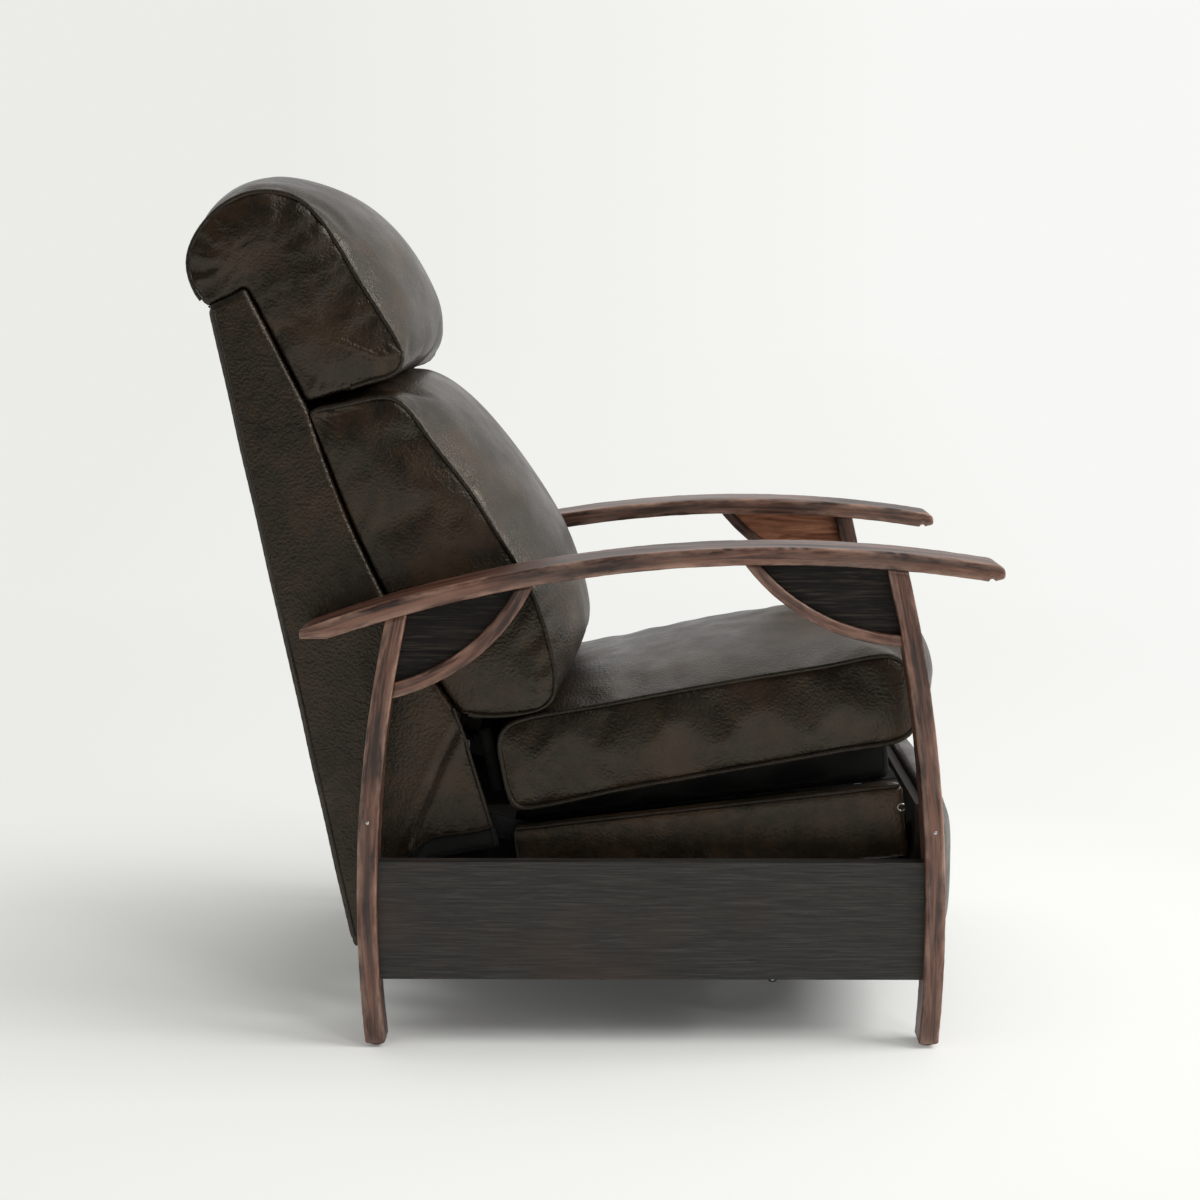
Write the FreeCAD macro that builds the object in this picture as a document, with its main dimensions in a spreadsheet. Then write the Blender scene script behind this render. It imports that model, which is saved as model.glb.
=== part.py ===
# Barrel-stave recliner: fixed stave frame, sliding seat, reclining back and fold-out footrest.
# Millimetres and degrees. +Z is up, the chair faces -Y, the sitter's left is +X, the floor is Z = 0.

import FreeCAD, Part
import Sketcher
import math
import os
import re

SIZES = {
    # stave frame
    "overall_width": 760,
    "arm_width": 95,
    "arm_taper": 4.5,
    "arm_thickness": 23,
    "arm_bend": 1760,
    "arm_crown_height": 641,
    "arm_crown_back": 235,
    "arm_front_reach": 530,
    "arm_rear_reach": 376,
    "croze_setback": 17,
    "croze_depth": 4,
    "chime_length": 36,
    "chime_depth": 12,
    "leg_width": 48,
    "leg_thickness": 26,
    "leg_inset": 4,
    "rear_leg_bend": 1783,
    "rear_leg_reach": 307,
    "rear_leg_bulge_height": 183,
    "front_leg_bend": 2000,
    "front_leg_reach": 462.5,
    "front_leg_bulge_height": 160,
    "glide_height": 5,
    "glide_radius": 10,
    "front_brace_bend": 272,
    "front_brace_thickness": 15,
    "front_brace_drop": 107,
    "front_brace_setback": 50,
    "rear_brace_bend": 270,
    "rear_brace_thickness": 19,
    "rear_brace_drop": 181,
    "rear_brace_setback": 11,
    "brace_inset": 2,
    "arm_panel_thickness": 18,
    "arm_panel_inset": 13,
    "arm_panel_joint": 66,
    "board_gap": 0.6,
    "side_panel_bottom": 90,
    "side_panel_height": 158,
    "side_panel_thickness": 22,
    "side_panel_inset": 12,
    "cross_rail_height": 44,
    "cross_rail_thickness": 24,
    "front_cross_rail_y": 203,
    "rear_cross_rail_y": 32,
    # seat, measured along its own slope from the top of the aprons
    "seat_pitch": 6.7,
    "seat_height": 283.5,
    "seat_front_reach": 418,
    "seat_rear_reach": 108,
    "seat_rail_height": 92,
    "seat_rail_thickness": 24,
    "seat_end_rail_height": 25,
    "seat_end_rail_depth": 36,
    "apron_thickness": 10,
    "apron_top": 6,
    "strap_width": 52,
    "strap_thickness": 2,
    "seat_strap_step": 92,
    "deck_inset": 62,
    "deck_thickness": 27,
    "cushion_rise": 3.6,
    "seat_cushion_length": 552,
    "seat_cushion_thickness": 116,
    "seat_cushion_crown": 26,
    "seat_cushion_front_crown": 34,
    "seat_cushion_corner": 16,
    "seat_cushion_corner_crown": 14,
    "seat_cushion_bulge": 8,
    "seat_cushion_top_bow": 4,
    "side_draw": 7,
    "crown_half": 0.4,
    "soft_gap": 0.4,
    # slide
    "glide_travel": 80,
    "track_drop": 108,
    "track_height": 36,
    "track_wall": 2.5,
    "track_depth": 20,
    "track_end_gap": 5,
    "carriage_wall": 3,
    "carriage_gap": 16,
    "carriage_drop": 126,
    "carriage_lead": 10,
    "cross_rail_lift": 5,
    "deck_setback": 8,
    "cushion_setback": 5,
    "outside_back_heel": 14,
    "block_length": 50,
    "front_block_y": 205,
    "rear_block_y": 60,
    "slide_gap": 0.4,
    "screw_radius": 3,
    "screw_head_radius": 6,
    "screw_head_height": 2,
    "screw_length": 14,
    "screw_setback": 70,
    # footrest linkage, seen from the side when closed
    "link_gap": 0.5,
    "link_thickness": 4,
    "link_half_width": 9,
    "pin_radius": 4,
    "pin_head_radius": 6.5,
    "pin_head_height": 2,
    "pin_gap": 0.08,
    "drive_length": 215,
    "drive_hang_angle": 82,
    "drive_pivot_y": 305,
    "drive_pivot_height": 292,
    "control_offset": 36,
    "control_offset_angle": 38,
    "tilt_offset": 40,
    "tube_radius": 9,
    "tube_distance": 70,
    "footrest_pivot_y": 405,
    "footrest_pivot_height": 185,
    "footrest_bracket_height": 120,
    "footrest_board_thickness": 12,
    "footrest_board_setback": 430,
    "footrest_height": 220,
    "footrest_bottom": 105,
    "footrest_side_gap": 10,
    "footrest_edge_depth": 16,
    "footrest_crown": 36,
    "footrest_corner": 6,
    "footrest_corner_crown": 16,
    "footrest_bulge": 7,
    "footrest_board_margin": 12,
    # back, measured along its own lean: depths forward of the rear line, heights up it
    "back_lean": 11.6,
    "back_line_y": 302.8,
    "back_gap": 6,
    "back_bottom": 108,
    "back_top": 985,
    "outside_back_thickness": 14,
    "wing_thickness": 24,
    "wing_top": 1002,
    "wing_top_depth": 53,
    "wing_split": 834,
    "wing_split_depth": 98,
    "wing_waist": 392,
    "wing_waist_depth": 206,
    "wing_waist_bend": 1400,
    "wing_foot": 205,
    "wing_foot_depth": 224,
    "wing_heel_depth": 126,
    "wing_toe_depth": 60,
    "post_thickness": 22,
    "post_depth": 50,
    "post_bottom": 130,
    "post_top_drop": 40,
    "back_rail_height": 60,
    "back_rail_thickness": 24,
    "back_middle_rail": 445,
    "back_strap_step": 82,
    "foam_inset": 30,
    "cushion_inset": 5,
    "lumbar_bottom": 377,
    "lumbar_bottom_depth": 319,
    "lumbar_nose_depth": 345,
    "lumbar_nose": 430,
    "lumbar_belly_depth": 309,
    "lumbar_belly": 620,
    "lumbar_shoulder_depth": 231,
    "lumbar_shoulder": 803,
    "lumbar_top_depth": 205,
    "lumbar_corner": 17,
    "lumbar_crown": 66,
    "cushion_split_gap": 5,
    "head_bottom_depth": 212,
    "head_bottom_rise": 18,
    "head_corner": 16,
    "head_chin_depth": 236,
    "head_chin": 880,
    "head_brow_depth": 160,
    "head_brow": 1080,
    "head_top_depth": 105,
    "head_top": 1118,
    "head_nape_depth": 45,
    "head_nape": 1110,
    "head_nape_corner": 32,
    "head_nape_drop": 80,
    "head_back_overhang": 15.43,
    "head_seat_gap": 2.7,
    "wing_top_step": 4,
    "head_crown": 36,
    # back hinge
    "hinge_y": 205,
    "hinge_height": 285,
    "hinge_pin_radius": 6,
    "hinge_half_width": 15,
    "hinge_plate_thickness": 4,
    "hinge_arm_overlap": 120,
    "hinge_tail": 110,
    "shoulder_wall": 4,
}

doc = FreeCAD.newDocument("barrel_recliner")
sheet = doc.addObject("Spreadsheet::Sheet", "Sizes")
for row, (alias, value) in enumerate(SIZES.items(), 1):
    sheet.set(f"A{row}", alias)
    sheet.set(f"B{row}", str(value))
    sheet.setAlias(f"B{row}", alias)
doc.recompute()

Vector = FreeCAD.Vector
nodes = []


def cells(text):
    """Turn plain size names in a formula into references to the sheet."""
    return re.sub(r"[a-z]\w+", lambda m: "Sizes." + m[0] if m[0] in SIZES else m[0], str(text))


def bind(obj, prop, formula):
    obj.setExpression(prop, cells(formula))


def number(formula):
    result = sheet.evalExpression(cells(formula))
    return float(getattr(result, "Value", result))


def keep(obj, label):
    """Name a finished sub-part, to be written as its own file."""
    obj.Label = label
    nodes.append(obj)
    return obj


# Positions across the chair, from the outside in, as distances from the middle.
ARM_OUTER = "overall_width / 2"
LEG_OUTER = f"({ARM_OUTER} - leg_inset)"
LEG_INNER = f"({LEG_OUTER} - leg_width)"
PANEL_OUTER = f"({LEG_OUTER} - side_panel_inset)"
PANEL_INNER = f"({PANEL_OUTER} - side_panel_thickness)"
TRACK_WEB = f"({PANEL_INNER} - track_wall)"
TRACK_MOUTH = f"({PANEL_INNER} - track_depth)"
CARRIAGE_OUTER = f"({TRACK_MOUTH} - carriage_gap)"
CARRIAGE_INNER = f"({CARRIAGE_OUTER} - carriage_wall)"
WING_OUTER = f"({ARM_OUTER} - arm_width - back_gap)"
WING_INNER = f"({WING_OUTER} - wing_thickness)"
POST_INNER = f"({WING_INNER} - post_thickness)"
CUSHION_SIDE = f"({WING_OUTER} - cushion_inset)"
APRON_INNER = f"({WING_OUTER} - apron_thickness)"
RAIL_INNER = f"({APRON_INNER} - seat_rail_thickness)"
PLATE_INNER = f"({RAIL_INNER} - link_thickness)"
DRIVE_OUTER = f"({PLATE_INNER} - link_gap)"
DRIVE_INNER = f"({DRIVE_OUTER} - link_thickness)"
LIFT_OUTER = f"({DRIVE_INNER} - link_gap)"
LIFT_INNER = f"({LIFT_OUTER} - link_thickness)"
HINGE_PLATE_INNER = f"({POST_INNER} - hinge_plate_thickness)"

# Seat, cushion and back frames: each is a lean about X and an origin.
WORLD = ("0", "0", "0")
SEAT = ("seat_pitch", "0", "seat_height")
BACK = ("back_lean", "back_line_y", "0")
SIDES = {"left": 1, "right": -1}


def span(side, inner, outer):
    """Lower and upper X of a piece between two distances from the middle, on one side."""
    return (inner, outer) if side > 0 else (f"-({outer})", f"-({inner})")


def across(half):
    return (f"-({half})", half)


def lean(obj, frame, x="0"):
    """Put an object drawn upright into one of the leaning frames."""
    angle, y, z = frame
    obj.Placement = FreeCAD.Placement(Vector(), FreeCAD.Rotation(Vector(1, 0, 0), 0))
    bind(obj, "Placement.Base.x", x)
    bind(obj, "Placement.Base.y", y)
    bind(obj, "Placement.Base.z", z)
    if angle != "0":
        obj.Placement.Rotation = FreeCAD.Rotation(Vector(1, 0, 0), -number(angle))
        bind(obj, "Placement.Rotation.Angle", f"-({angle})")


def arc_between(start, end, radius, side):
    """Arc from start to end, its centre on the left (1) or right (-1) of the chord."""
    chord = end - start
    middle = (start + end) / 2
    left = Vector(-chord.y, chord.x, 0).normalize()
    centre = middle + left * side * math.sqrt(max(radius ** 2 - chord.Length ** 2 / 4, 0))
    first, last = (start, end) if side > 0 else (end, start)
    circle = Part.Circle(centre, Vector(0, 0, 1), radius)
    return Part.ArcOfCircle(circle, circle.parameter(first), circle.parameter(last))


def draw_outline(sketch, corners):
    """Draw a closed outline; each corner is (y, z) or (y, z, radius, side) for an arc to the next."""
    points = [Vector(number(c[0]), number(c[1]), 0) for c in corners]
    ends = []
    for i, corner in enumerate(corners):
        start, end = points[i], points[(i + 1) % len(points)]
        if len(corner) == 4:
            curve = arc_between(start, end, number(corner[2]), corner[3])
            ends.append((1, 2) if corner[3] > 0 else (2, 1))
        else:
            curve = Part.LineSegment(start, end)
            ends.append((1, 2))
        sketch.addGeometry(curve, False)
    for i, corner in enumerate(corners):
        following = (i + 1) % len(corners)
        sketch.addConstraint(Sketcher.Constraint("Coincident", i, ends[i][1], following, ends[following][0]))
    for i, corner in enumerate(corners):
        for kind, formula, value in (("DistanceX", corner[0], points[i].x), ("DistanceY", corner[1], points[i].y)):
            k = sketch.addConstraint(Sketcher.Constraint(kind, -1, 1, i, ends[i][0], value))
            sketch.setExpression(f"Constraints[{k}]", cells(formula))
        if len(corner) == 4:
            k = sketch.addConstraint(Sketcher.Constraint("Radius", i, number(corner[2])))
            sketch.setExpression(f"Constraints[{k}]", cells(corner[2]))


def draw_hole(sketch, y, z, radius):
    i = sketch.addGeometry(Part.Circle(Vector(number(y), number(z), 0), Vector(0, 0, 1), number(radius)), False)
    for kind, formula in (("DistanceX", y), ("DistanceY", z)):
        k = sketch.addConstraint(Sketcher.Constraint(kind, -1, 1, i, 3, number(formula)))
        sketch.setExpression(f"Constraints[{k}]", cells(formula))
    k = sketch.addConstraint(Sketcher.Constraint("Radius", i, number(radius)))
    sketch.setExpression(f"Constraints[{k}]", cells(radius))


def slab(name, frame, corners, x_span, holes=()):
    """A body drawn in side view and padded across the chair."""
    body = doc.addObject("PartDesign::Body", name)
    sketch = body.newObject("Sketcher::SketchObject", name + "_outline")
    plane = next(f for f in body.Origin.OriginFeatures if f.Role == "YZ_Plane")
    sketch.AttachmentSupport = [(plane, "")]
    sketch.MapMode = "FlatFace"
    draw_outline(sketch, corners)
    for hole in holes:
        draw_hole(sketch, *hole)
    pad = body.newObject("PartDesign::Pad", name + "_pad")
    pad.Profile = sketch
    bind(pad, "Length", f"({x_span[1]}) - ({x_span[0]})")
    lean(body, frame, x_span[0])
    return body


def rectangle(y0, y1, z0, z1):
    return [(y0, z0), (y1, z0), (y1, z1), (y0, z1)]


def disc(name, y, z, radius, x_span):
    """A cylinder lying across the chair."""
    obj = doc.addObject("Part::Cylinder", name)
    obj.Placement = FreeCAD.Placement(Vector(), FreeCAD.Rotation(Vector(0, 1, 0), 90))
    bind(obj, "Radius", radius)
    bind(obj, "Height", f"({x_span[1]}) - ({x_span[0]})")
    bind(obj, "Placement.Base.x", x_span[0])
    bind(obj, "Placement.Base.y", y)
    bind(obj, "Placement.Base.z", z)
    return obj


def prism(name, y, z, radius, x_span, corners=6):
    """A many-sided head or end lying across the chair."""
    obj = doc.addObject("Part::Prism", name)
    obj.Polygon = corners
    obj.Placement = FreeCAD.Placement(Vector(), FreeCAD.Rotation(Vector(0, 1, 0), 90))
    bind(obj, "Circumradius", radius)
    bind(obj, "Height", f"({x_span[1]}) - ({x_span[0]})")
    bind(obj, "Placement.Base.x", x_span[0])
    bind(obj, "Placement.Base.y", y)
    bind(obj, "Placement.Base.z", z)
    return obj


def block(name, x_span, y_span, z_span):
    obj = doc.addObject("Part::Box", name)
    for prop, axis, limits in (("Length", "x", x_span), ("Width", "y", y_span), ("Height", "z", z_span)):
        bind(obj, prop, f"({limits[1]}) - ({limits[0]})")
        bind(obj, f"Placement.Base.{axis}", limits[0])
    return obj


def cut(name, base, *tools):
    obj = doc.addObject("Part::Cut", name)
    obj.Base = base
    obj.Tool = tools[0] if len(tools) == 1 else fuse(name + "_tools", *tools)
    return obj


def common(name, *shapes):
    obj = doc.addObject("Part::MultiCommon", name)
    obj.Shapes = list(shapes)
    return obj


def fuse(name, *shapes):
    obj = doc.addObject("Part::MultiFuse", name)
    obj.Shapes = list(shapes)
    obj.Refine = True
    return obj


def group(name, *shapes):
    obj = doc.addObject("Part::Compound", name)
    obj.Links = list(shapes)
    return obj


# Bend centres of the staves. Each leg's hollow side faces the other legs.
ARM_CENTRE = ("-arm_crown_back", "arm_crown_height - arm_bend")
REAR_LEG_CENTRE = ("rear_leg_reach - rear_leg_bend", "rear_leg_bulge_height")
FRONT_LEG_CENTRE = ("front_leg_bend - front_leg_reach", "front_leg_bulge_height")
FRONT_BRACE_CENTRE = ("front_brace_setback - front_leg_reach",
                      "arm_crown_height - front_brace_drop + front_brace_bend")
REAR_BRACE_CENTRE = ("rear_leg_reach + rear_brace_setback",
                     "arm_crown_height - rear_brace_drop + rear_brace_bend")


def ring(name, centre, inner, outer, x_span):
    return cut(name, disc(name + "_outer", *centre, outer, x_span), disc(name + "_inner", *centre, inner, x_span))


def make_arm(word, side):
    """A bent stave, widest at its middle, with a croze groove in front and a chime bevel at each end."""
    name = word + "_arm"
    sides = span(side, f"{ARM_OUTER} - arm_width", ARM_OUTER)
    stave = ring(name + "_ring", ARM_CENTRE, "arm_bend", "arm_bend + arm_thickness", sides)
    length = "(arm_front_reach + arm_rear_reach)"
    plan_radius = f"({length}^2 / (8 * arm_taper) + arm_taper / 2)"
    plans = []
    for edge, reach in (("outer", f"{ARM_OUTER} - {plan_radius}"),
                        ("inner", f"{ARM_OUTER} - arm_width + {plan_radius}")):
        plan = doc.addObject("Part::Cylinder", f"{name}_{edge}_plan")
        bind(plan, "Radius", plan_radius)
        bind(plan, "Height", "arm_crown_height + arm_thickness + 100")
        bind(plan, "Placement.Base.x", f"{side} * ({reach})")
        bind(plan, "Placement.Base.y", "(arm_rear_reach - arm_front_reach) / 2")
        plans.append(plan)
    extent = block(name + "_extent", sides, ("-arm_front_reach", "arm_rear_reach"),
                   ("arm_crown_height / 2", "arm_crown_height + arm_thickness + 50"))
    blank = common(name + "_blank", stave, extent, *plans)
    under = "({c} + sqrt(arm_bend^2 - ({y} + arm_crown_back)^2))"
    front_under = under.format(c="arm_crown_height - arm_bend", y="(croze_setback - arm_front_reach)")
    croze = disc(name + "_croze", "croze_setback - arm_front_reach", front_under, "croze_depth", sides)
    bevels = []
    for end, tip, turn in (("front", "-arm_front_reach", 1), ("rear", "arm_rear_reach", -1)):
        depth = "chime_depth" if end == "rear" else "chime_depth * 0.6"
        reach = "chime_length" if end == "rear" else "croze_setback"
        tip_under = under.format(c="arm_crown_height - arm_bend", y=f"({tip})")
        root_under = under.format(c="arm_crown_height - arm_bend", y=f"({tip} + {turn} * {reach})")
        bevels.append(slab(f"{name}_{end}_bevel", WORLD, [
            (f"{tip} - {turn} * 20", f"{tip_under} - 40"),
            (f"{tip} + {turn} * {reach}", f"{root_under} - 40"),
            (f"{tip} + {turn} * {reach}", root_under),
            (tip, f"{tip_under} + {depth}"),
            (f"{tip} - {turn} * 20", f"{tip_under} + {depth}")], sides))
    keep(cut(name, blank, croze, *bevels), name)


def make_leg(word, side, end):
    """A bent stave leg, its top cut to the underside of the arm."""
    name = f"{word}_{end}_leg"
    sides = span(side, LEG_INNER, LEG_OUTER)
    centre, bend = (REAR_LEG_CENTRE, "rear_leg_bend") if end == "rear" else (FRONT_LEG_CENTRE, "front_leg_bend")
    stave = ring(name + "_ring", centre, f"{bend} - leg_thickness", bend, sides)
    under_arm = disc(name + "_top", *ARM_CENTRE, "arm_bend", sides)
    y_span = ("0", "rear_leg_reach + 50") if end == "rear" else ("-front_leg_reach - 50", "0")
    extent = block(name + "_extent", sides, y_span, ("glide_height", "arm_crown_height"))
    keep(common(name, stave, extent, under_arm), name)


def corner_space(name, end, sides):
    """The space under the arm and between the legs, as shapes to intersect with."""
    centre, bend = (REAR_LEG_CENTRE, "rear_leg_bend") if end == "rear" else (FRONT_LEG_CENTRE, "front_leg_bend")
    return (disc(name + "_under_arm", *ARM_CENTRE, "arm_bend", sides),
            disc(name + "_inside_leg", *centre, f"{bend} - leg_thickness", sides))


def make_corner(word, side, end):
    """The curved brace in the corner of arm and leg, and the boards behind it."""
    centre = REAR_BRACE_CENTRE if end == "rear" else FRONT_BRACE_CENTRE
    bend, thickness = f"{end}_brace_bend", f"{end}_brace_thickness"
    name = f"{word}_{end}_brace"
    sides = span(side, f"{LEG_INNER} + brace_inset", f"{LEG_OUTER} - brace_inset")
    band = ring(name + "_ring", centre, f"{bend} - {thickness}", bend, sides)
    keep(common(name, band, *corner_space(name, end, sides)), name)

    name = f"{word}_{end}_arm_panel"
    outer = f"({LEG_OUTER} - arm_panel_inset)"
    sides = span(side, f"{outer} - arm_panel_thickness", outer)
    fill = disc(name + "_fill", *centre, f"{bend} - {thickness}", sides)
    board = common(name + "_board", fill, *corner_space(name, end, sides))
    if end == "front":
        keep(board, name)
        return
    joint = "(arm_crown_height - rear_brace_drop + arm_panel_joint)"
    y_span = ("0", "rear_leg_reach")
    lower = block(name + "_lower_space", sides, y_span, ("arm_crown_height / 2", joint))
    upper = block(name + "_upper_space", sides, y_span, (f"{joint} + board_gap", "arm_crown_height"))
    keep(group(name, common(name + "_lower", board, lower), common(name + "_upper", board, upper)), name)


def make_frame():
    for word, side in SIDES.items():
        make_arm(word, side)
        for end in ("front", "rear"):
            make_leg(word, side, end)
            make_corner(word, side, end)
        name = word + "_side_panel"
        sides = span(side, PANEL_INNER, PANEL_OUTER)
        front = disc(name + "_front", *FRONT_LEG_CENTRE, "front_leg_bend - leg_thickness", sides)
        rear = disc(name + "_rear", *REAR_LEG_CENTRE, "rear_leg_bend - leg_thickness", sides)
        board = block(name + "_board", sides, ("-front_leg_reach", "rear_leg_reach"),
                      ("side_panel_bottom", "side_panel_bottom + side_panel_height"))
        drilled = cut(name + "_drilled", common(name + "_blank", front, rear, board), *track_holes(word, side))
        keep(drilled, name)
    rail_top = "side_panel_bottom + cross_rail_lift + cross_rail_height"
    for name, y in (("front_cross_rail", "-front_cross_rail_y"), ("rear_cross_rail", "rear_cross_rail_y")):
        keep(block(name, across(PANEL_INNER), (f"{y} - cross_rail_thickness / 2", f"{y} + cross_rail_thickness / 2"),
                   ("side_panel_bottom + cross_rail_lift", rail_top)), name)
    glides = []
    for word, side in SIDES.items():
        for end, sign, centre, bend in (("front", -1, FRONT_LEG_CENTRE, "front_leg_bend"),
                                        ("rear", 1, REAR_LEG_CENTRE, "rear_leg_bend")):
            glide = doc.addObject("Part::Cylinder", f"{word}_{end}_glide")
            bind(glide, "Radius", "glide_radius")
            bind(glide, "Height", "glide_height")
            bind(glide, "Placement.Base.x", f"{side} * ({LEG_OUTER} - leg_width / 2)")
            foot = f"sqrt(({bend} - leg_thickness / 2)^2 - ({centre[1]} - glide_height)^2)"
            bind(glide, "Placement.Base.y", f"{centre[0]} + {sign} * {foot}")
            glides.append(glide)
    keep(group("foot_glides", *glides), "foot_glides")


def seat_point(y, z):
    """World position of a point given along the seat's slope."""
    return (f"(({y}) * cos(seat_pitch) + ({z}) * sin(seat_pitch))",
            f"(seat_height - ({y}) * sin(seat_pitch) + ({z}) * cos(seat_pitch))")


# Ends of the tracks along the seat's slope: the blocks, their travel and a gap at each stop.
TRACK_FRONT = "(-front_block_y - block_length / 2 - glide_travel - track_end_gap - track_wall)"
TRACK_REAR = "(rear_block_y + block_length / 2 + track_end_gap + track_wall)"


def screw_points():
    return [seat_point(y, "-track_drop") for y in (f"{TRACK_FRONT} + screw_setback", f"{TRACK_REAR} - screw_setback")]


def track_holes(word, side):
    inner = f"({PANEL_INNER} - 1)"
    tip = f"({TRACK_WEB} + screw_length)"
    return [disc(f"{word}_screw_hole_{i}", *point, "screw_radius", span(side, inner, tip))
            for i, point in enumerate(screw_points())]


def make_track(word, side):
    """A steel channel on the side panel, open towards the seat, with a stop at each end."""
    name = word + "_track"
    ends = (TRACK_FRONT, TRACK_REAR)
    low, high = "-track_drop - track_height / 2", "-track_drop + track_height / 2"
    solid = slab(name + "_solid", SEAT, rectangle(*ends, low, high), span(side, TRACK_MOUTH, PANEL_INNER))
    hollow = slab(name + "_hollow", SEAT,
                  rectangle(f"{ends[0]} + track_wall", f"{ends[1]} - track_wall",
                            f"{low} + track_wall", f"{high} - track_wall"),
                  span(side, f"{TRACK_MOUTH} - 5", TRACK_WEB))
    holes = [disc(f"{name}_hole_{i}", *point, "screw_radius", span(side, f"{TRACK_WEB} - 1", f"{PANEL_INNER} + 1"))
             for i, point in enumerate(screw_points())]
    keep(cut(name, solid, hollow, *holes), name)


def make_screws():
    screws = []
    for word, side in SIDES.items():
        for i, point in enumerate(screw_points()):
            name = f"{word}_screw_{i}"
            head = prism(name + "_head", *point, "screw_head_radius",
                           span(side, f"{TRACK_WEB} - screw_head_height", TRACK_WEB))
            shank = disc(name + "_shank", *point, "screw_radius",
                         span(side, TRACK_WEB, f"{TRACK_WEB} + screw_length"))
            screws.append(fuse(name, head, shank))
    keep(group("track_screws", *screws), "track_screws")


DECK_TOP = "(deck_thickness + (seat_rear_reach - cushion_setback - ({y})) * tan(cushion_rise))"


def make_seat():
    front, rear = "-seat_front_reach", "seat_rear_reach"
    rail_bottom = "-apron_top - seat_rail_height"
    carriage_ends = ("-front_block_y - block_length / 2 - carriage_lead", "rear_block_y + block_length / 2")
    blocks = []
    for word, side in SIDES.items():
        rail_span = span(side, RAIL_INNER, APRON_INNER)
        keep(slab(word + "_seat_rail", SEAT, rectangle(front, rear, rail_bottom, "-apron_top"), rail_span),
             word + "_seat_rail")
        cover = slab(word + "_apron_cover", SEAT, rectangle(front, rear, rail_bottom, "0"),
                     span(side, RAIL_INNER, WING_OUTER))
        inside = slab(word + "_apron_inside", SEAT,
                      rectangle(f"{front} - 1", f"{rear} + 1", f"{rail_bottom} - 1", "-apron_top"),
                      span(side, f"{RAIL_INNER} - 1", APRON_INNER))
        keep(cut(word + "_apron", cover, inside), word + "_apron")
        upright = slab(word + "_carriage_upright", SEAT,
                       rectangle(*carriage_ends, "-carriage_drop", rail_bottom),
                       span(side, CARRIAGE_INNER, CARRIAGE_OUTER))
        shelf = slab(word + "_carriage_shelf", SEAT,
                     rectangle(*carriage_ends, f"{rail_bottom} - carriage_wall", rail_bottom),
                     span(side, RAIL_INNER, CARRIAGE_OUTER))
        notch = slab(word + "_carriage_notch", SEAT,
                     rectangle(f"{carriage_ends[0]} - 1", f"{carriage_ends[1]} + 1", rail_bottom, "0"),
                     span(side, f"{RAIL_INNER} - 1", f"{CARRIAGE_OUTER} + 1"))
        keep(cut(word + "_carriage", fuse(word + "_carriage_angle", upright, shelf), notch), word + "_carriage")
        for i, y in enumerate(("-front_block_y", "rear_block_y")):
            half = "(track_height / 2 - track_wall - slide_gap)"
            blocks.append(slab(f"{word}_block_{i}", SEAT,
                               rectangle(f"{y} - block_length / 2", f"{y} + block_length / 2",
                                         f"-track_drop - {half}", f"-track_drop + {half}"),
                               span(side, CARRIAGE_OUTER, f"{TRACK_WEB} - screw_head_height - slide_gap")))
    keep(group("slide_blocks", *blocks), "slide_blocks")
    low_front = "-apron_top - seat_end_rail_height"
    front_rail = slab("seat_front_rail", SEAT,
                      rectangle(front, f"{front} + seat_end_rail_depth", low_front, "-apron_top"),
                      across(RAIL_INNER))
    rear_rail = slab("seat_rear_rail", SEAT,
                     rectangle(f"{rear} - seat_end_rail_depth", rear, rail_bottom, "-apron_top"),
                     across(PLATE_INNER))
    keep(group("seat_end_rails", front_rail, rear_rail), "seat_end_rails")
    straps = []
    for i in (-2, -1, 0, 1, 2):
        middle = f"({i} * seat_strap_step)"
        straps.append(slab(f"seat_strap_{i + 2}", SEAT,
                           rectangle(front, rear, "-apron_top", "-apron_top + strap_thickness"),
                           (f"{middle} - strap_width / 2", f"{middle} + strap_width / 2")))
    keep(group("seat_webbing", *straps), "seat_webbing")
    deck_bottom = "-apron_top + strap_thickness + soft_gap"
    deck_front, deck_rear = f"{front} + deck_setback", f"{rear} - deck_setback"
    keep(slab("seat_deck", SEAT, [
        (deck_rear, deck_bottom), (deck_rear, DECK_TOP.format(y=deck_rear)),
        (deck_front, DECK_TOP.format(y=deck_front)), (deck_front, deck_bottom)],
        across(f"{WING_OUTER} - deck_inset")), "seat_deck")


# Joints of the footrest linkage when it is closed, seen from the side.
DRIVE_PIVOT = ("-drive_pivot_y", "drive_pivot_height")
FOOTREST_PIVOT = ("-footrest_pivot_y", "footrest_pivot_height")


def along_drive(distance):
    return (f"({distance} * cos(drive_hang_angle) - drive_pivot_y)",
            f"(drive_pivot_height - {distance} * sin(drive_hang_angle))")


def control_shift(point):
    return (f"({point[0]} + control_offset * cos(control_offset_angle))",
            f"({point[1]} - control_offset * sin(control_offset_angle))")


def tilt_shift(point):
    return (f"({point[0]} - tilt_offset * cos(drive_hang_angle))",
            f"({point[1]} + tilt_offset * sin(drive_hang_angle))")


KNEE = along_drive("drive_length")
CONTROL_PIVOT = control_shift(DRIVE_PIVOT)
CONTROL_KNEE = control_shift(KNEE)
TILT_KNEE = tilt_shift(KNEE)
TILT_PIVOT = tilt_shift(FOOTREST_PIVOT)


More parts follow.
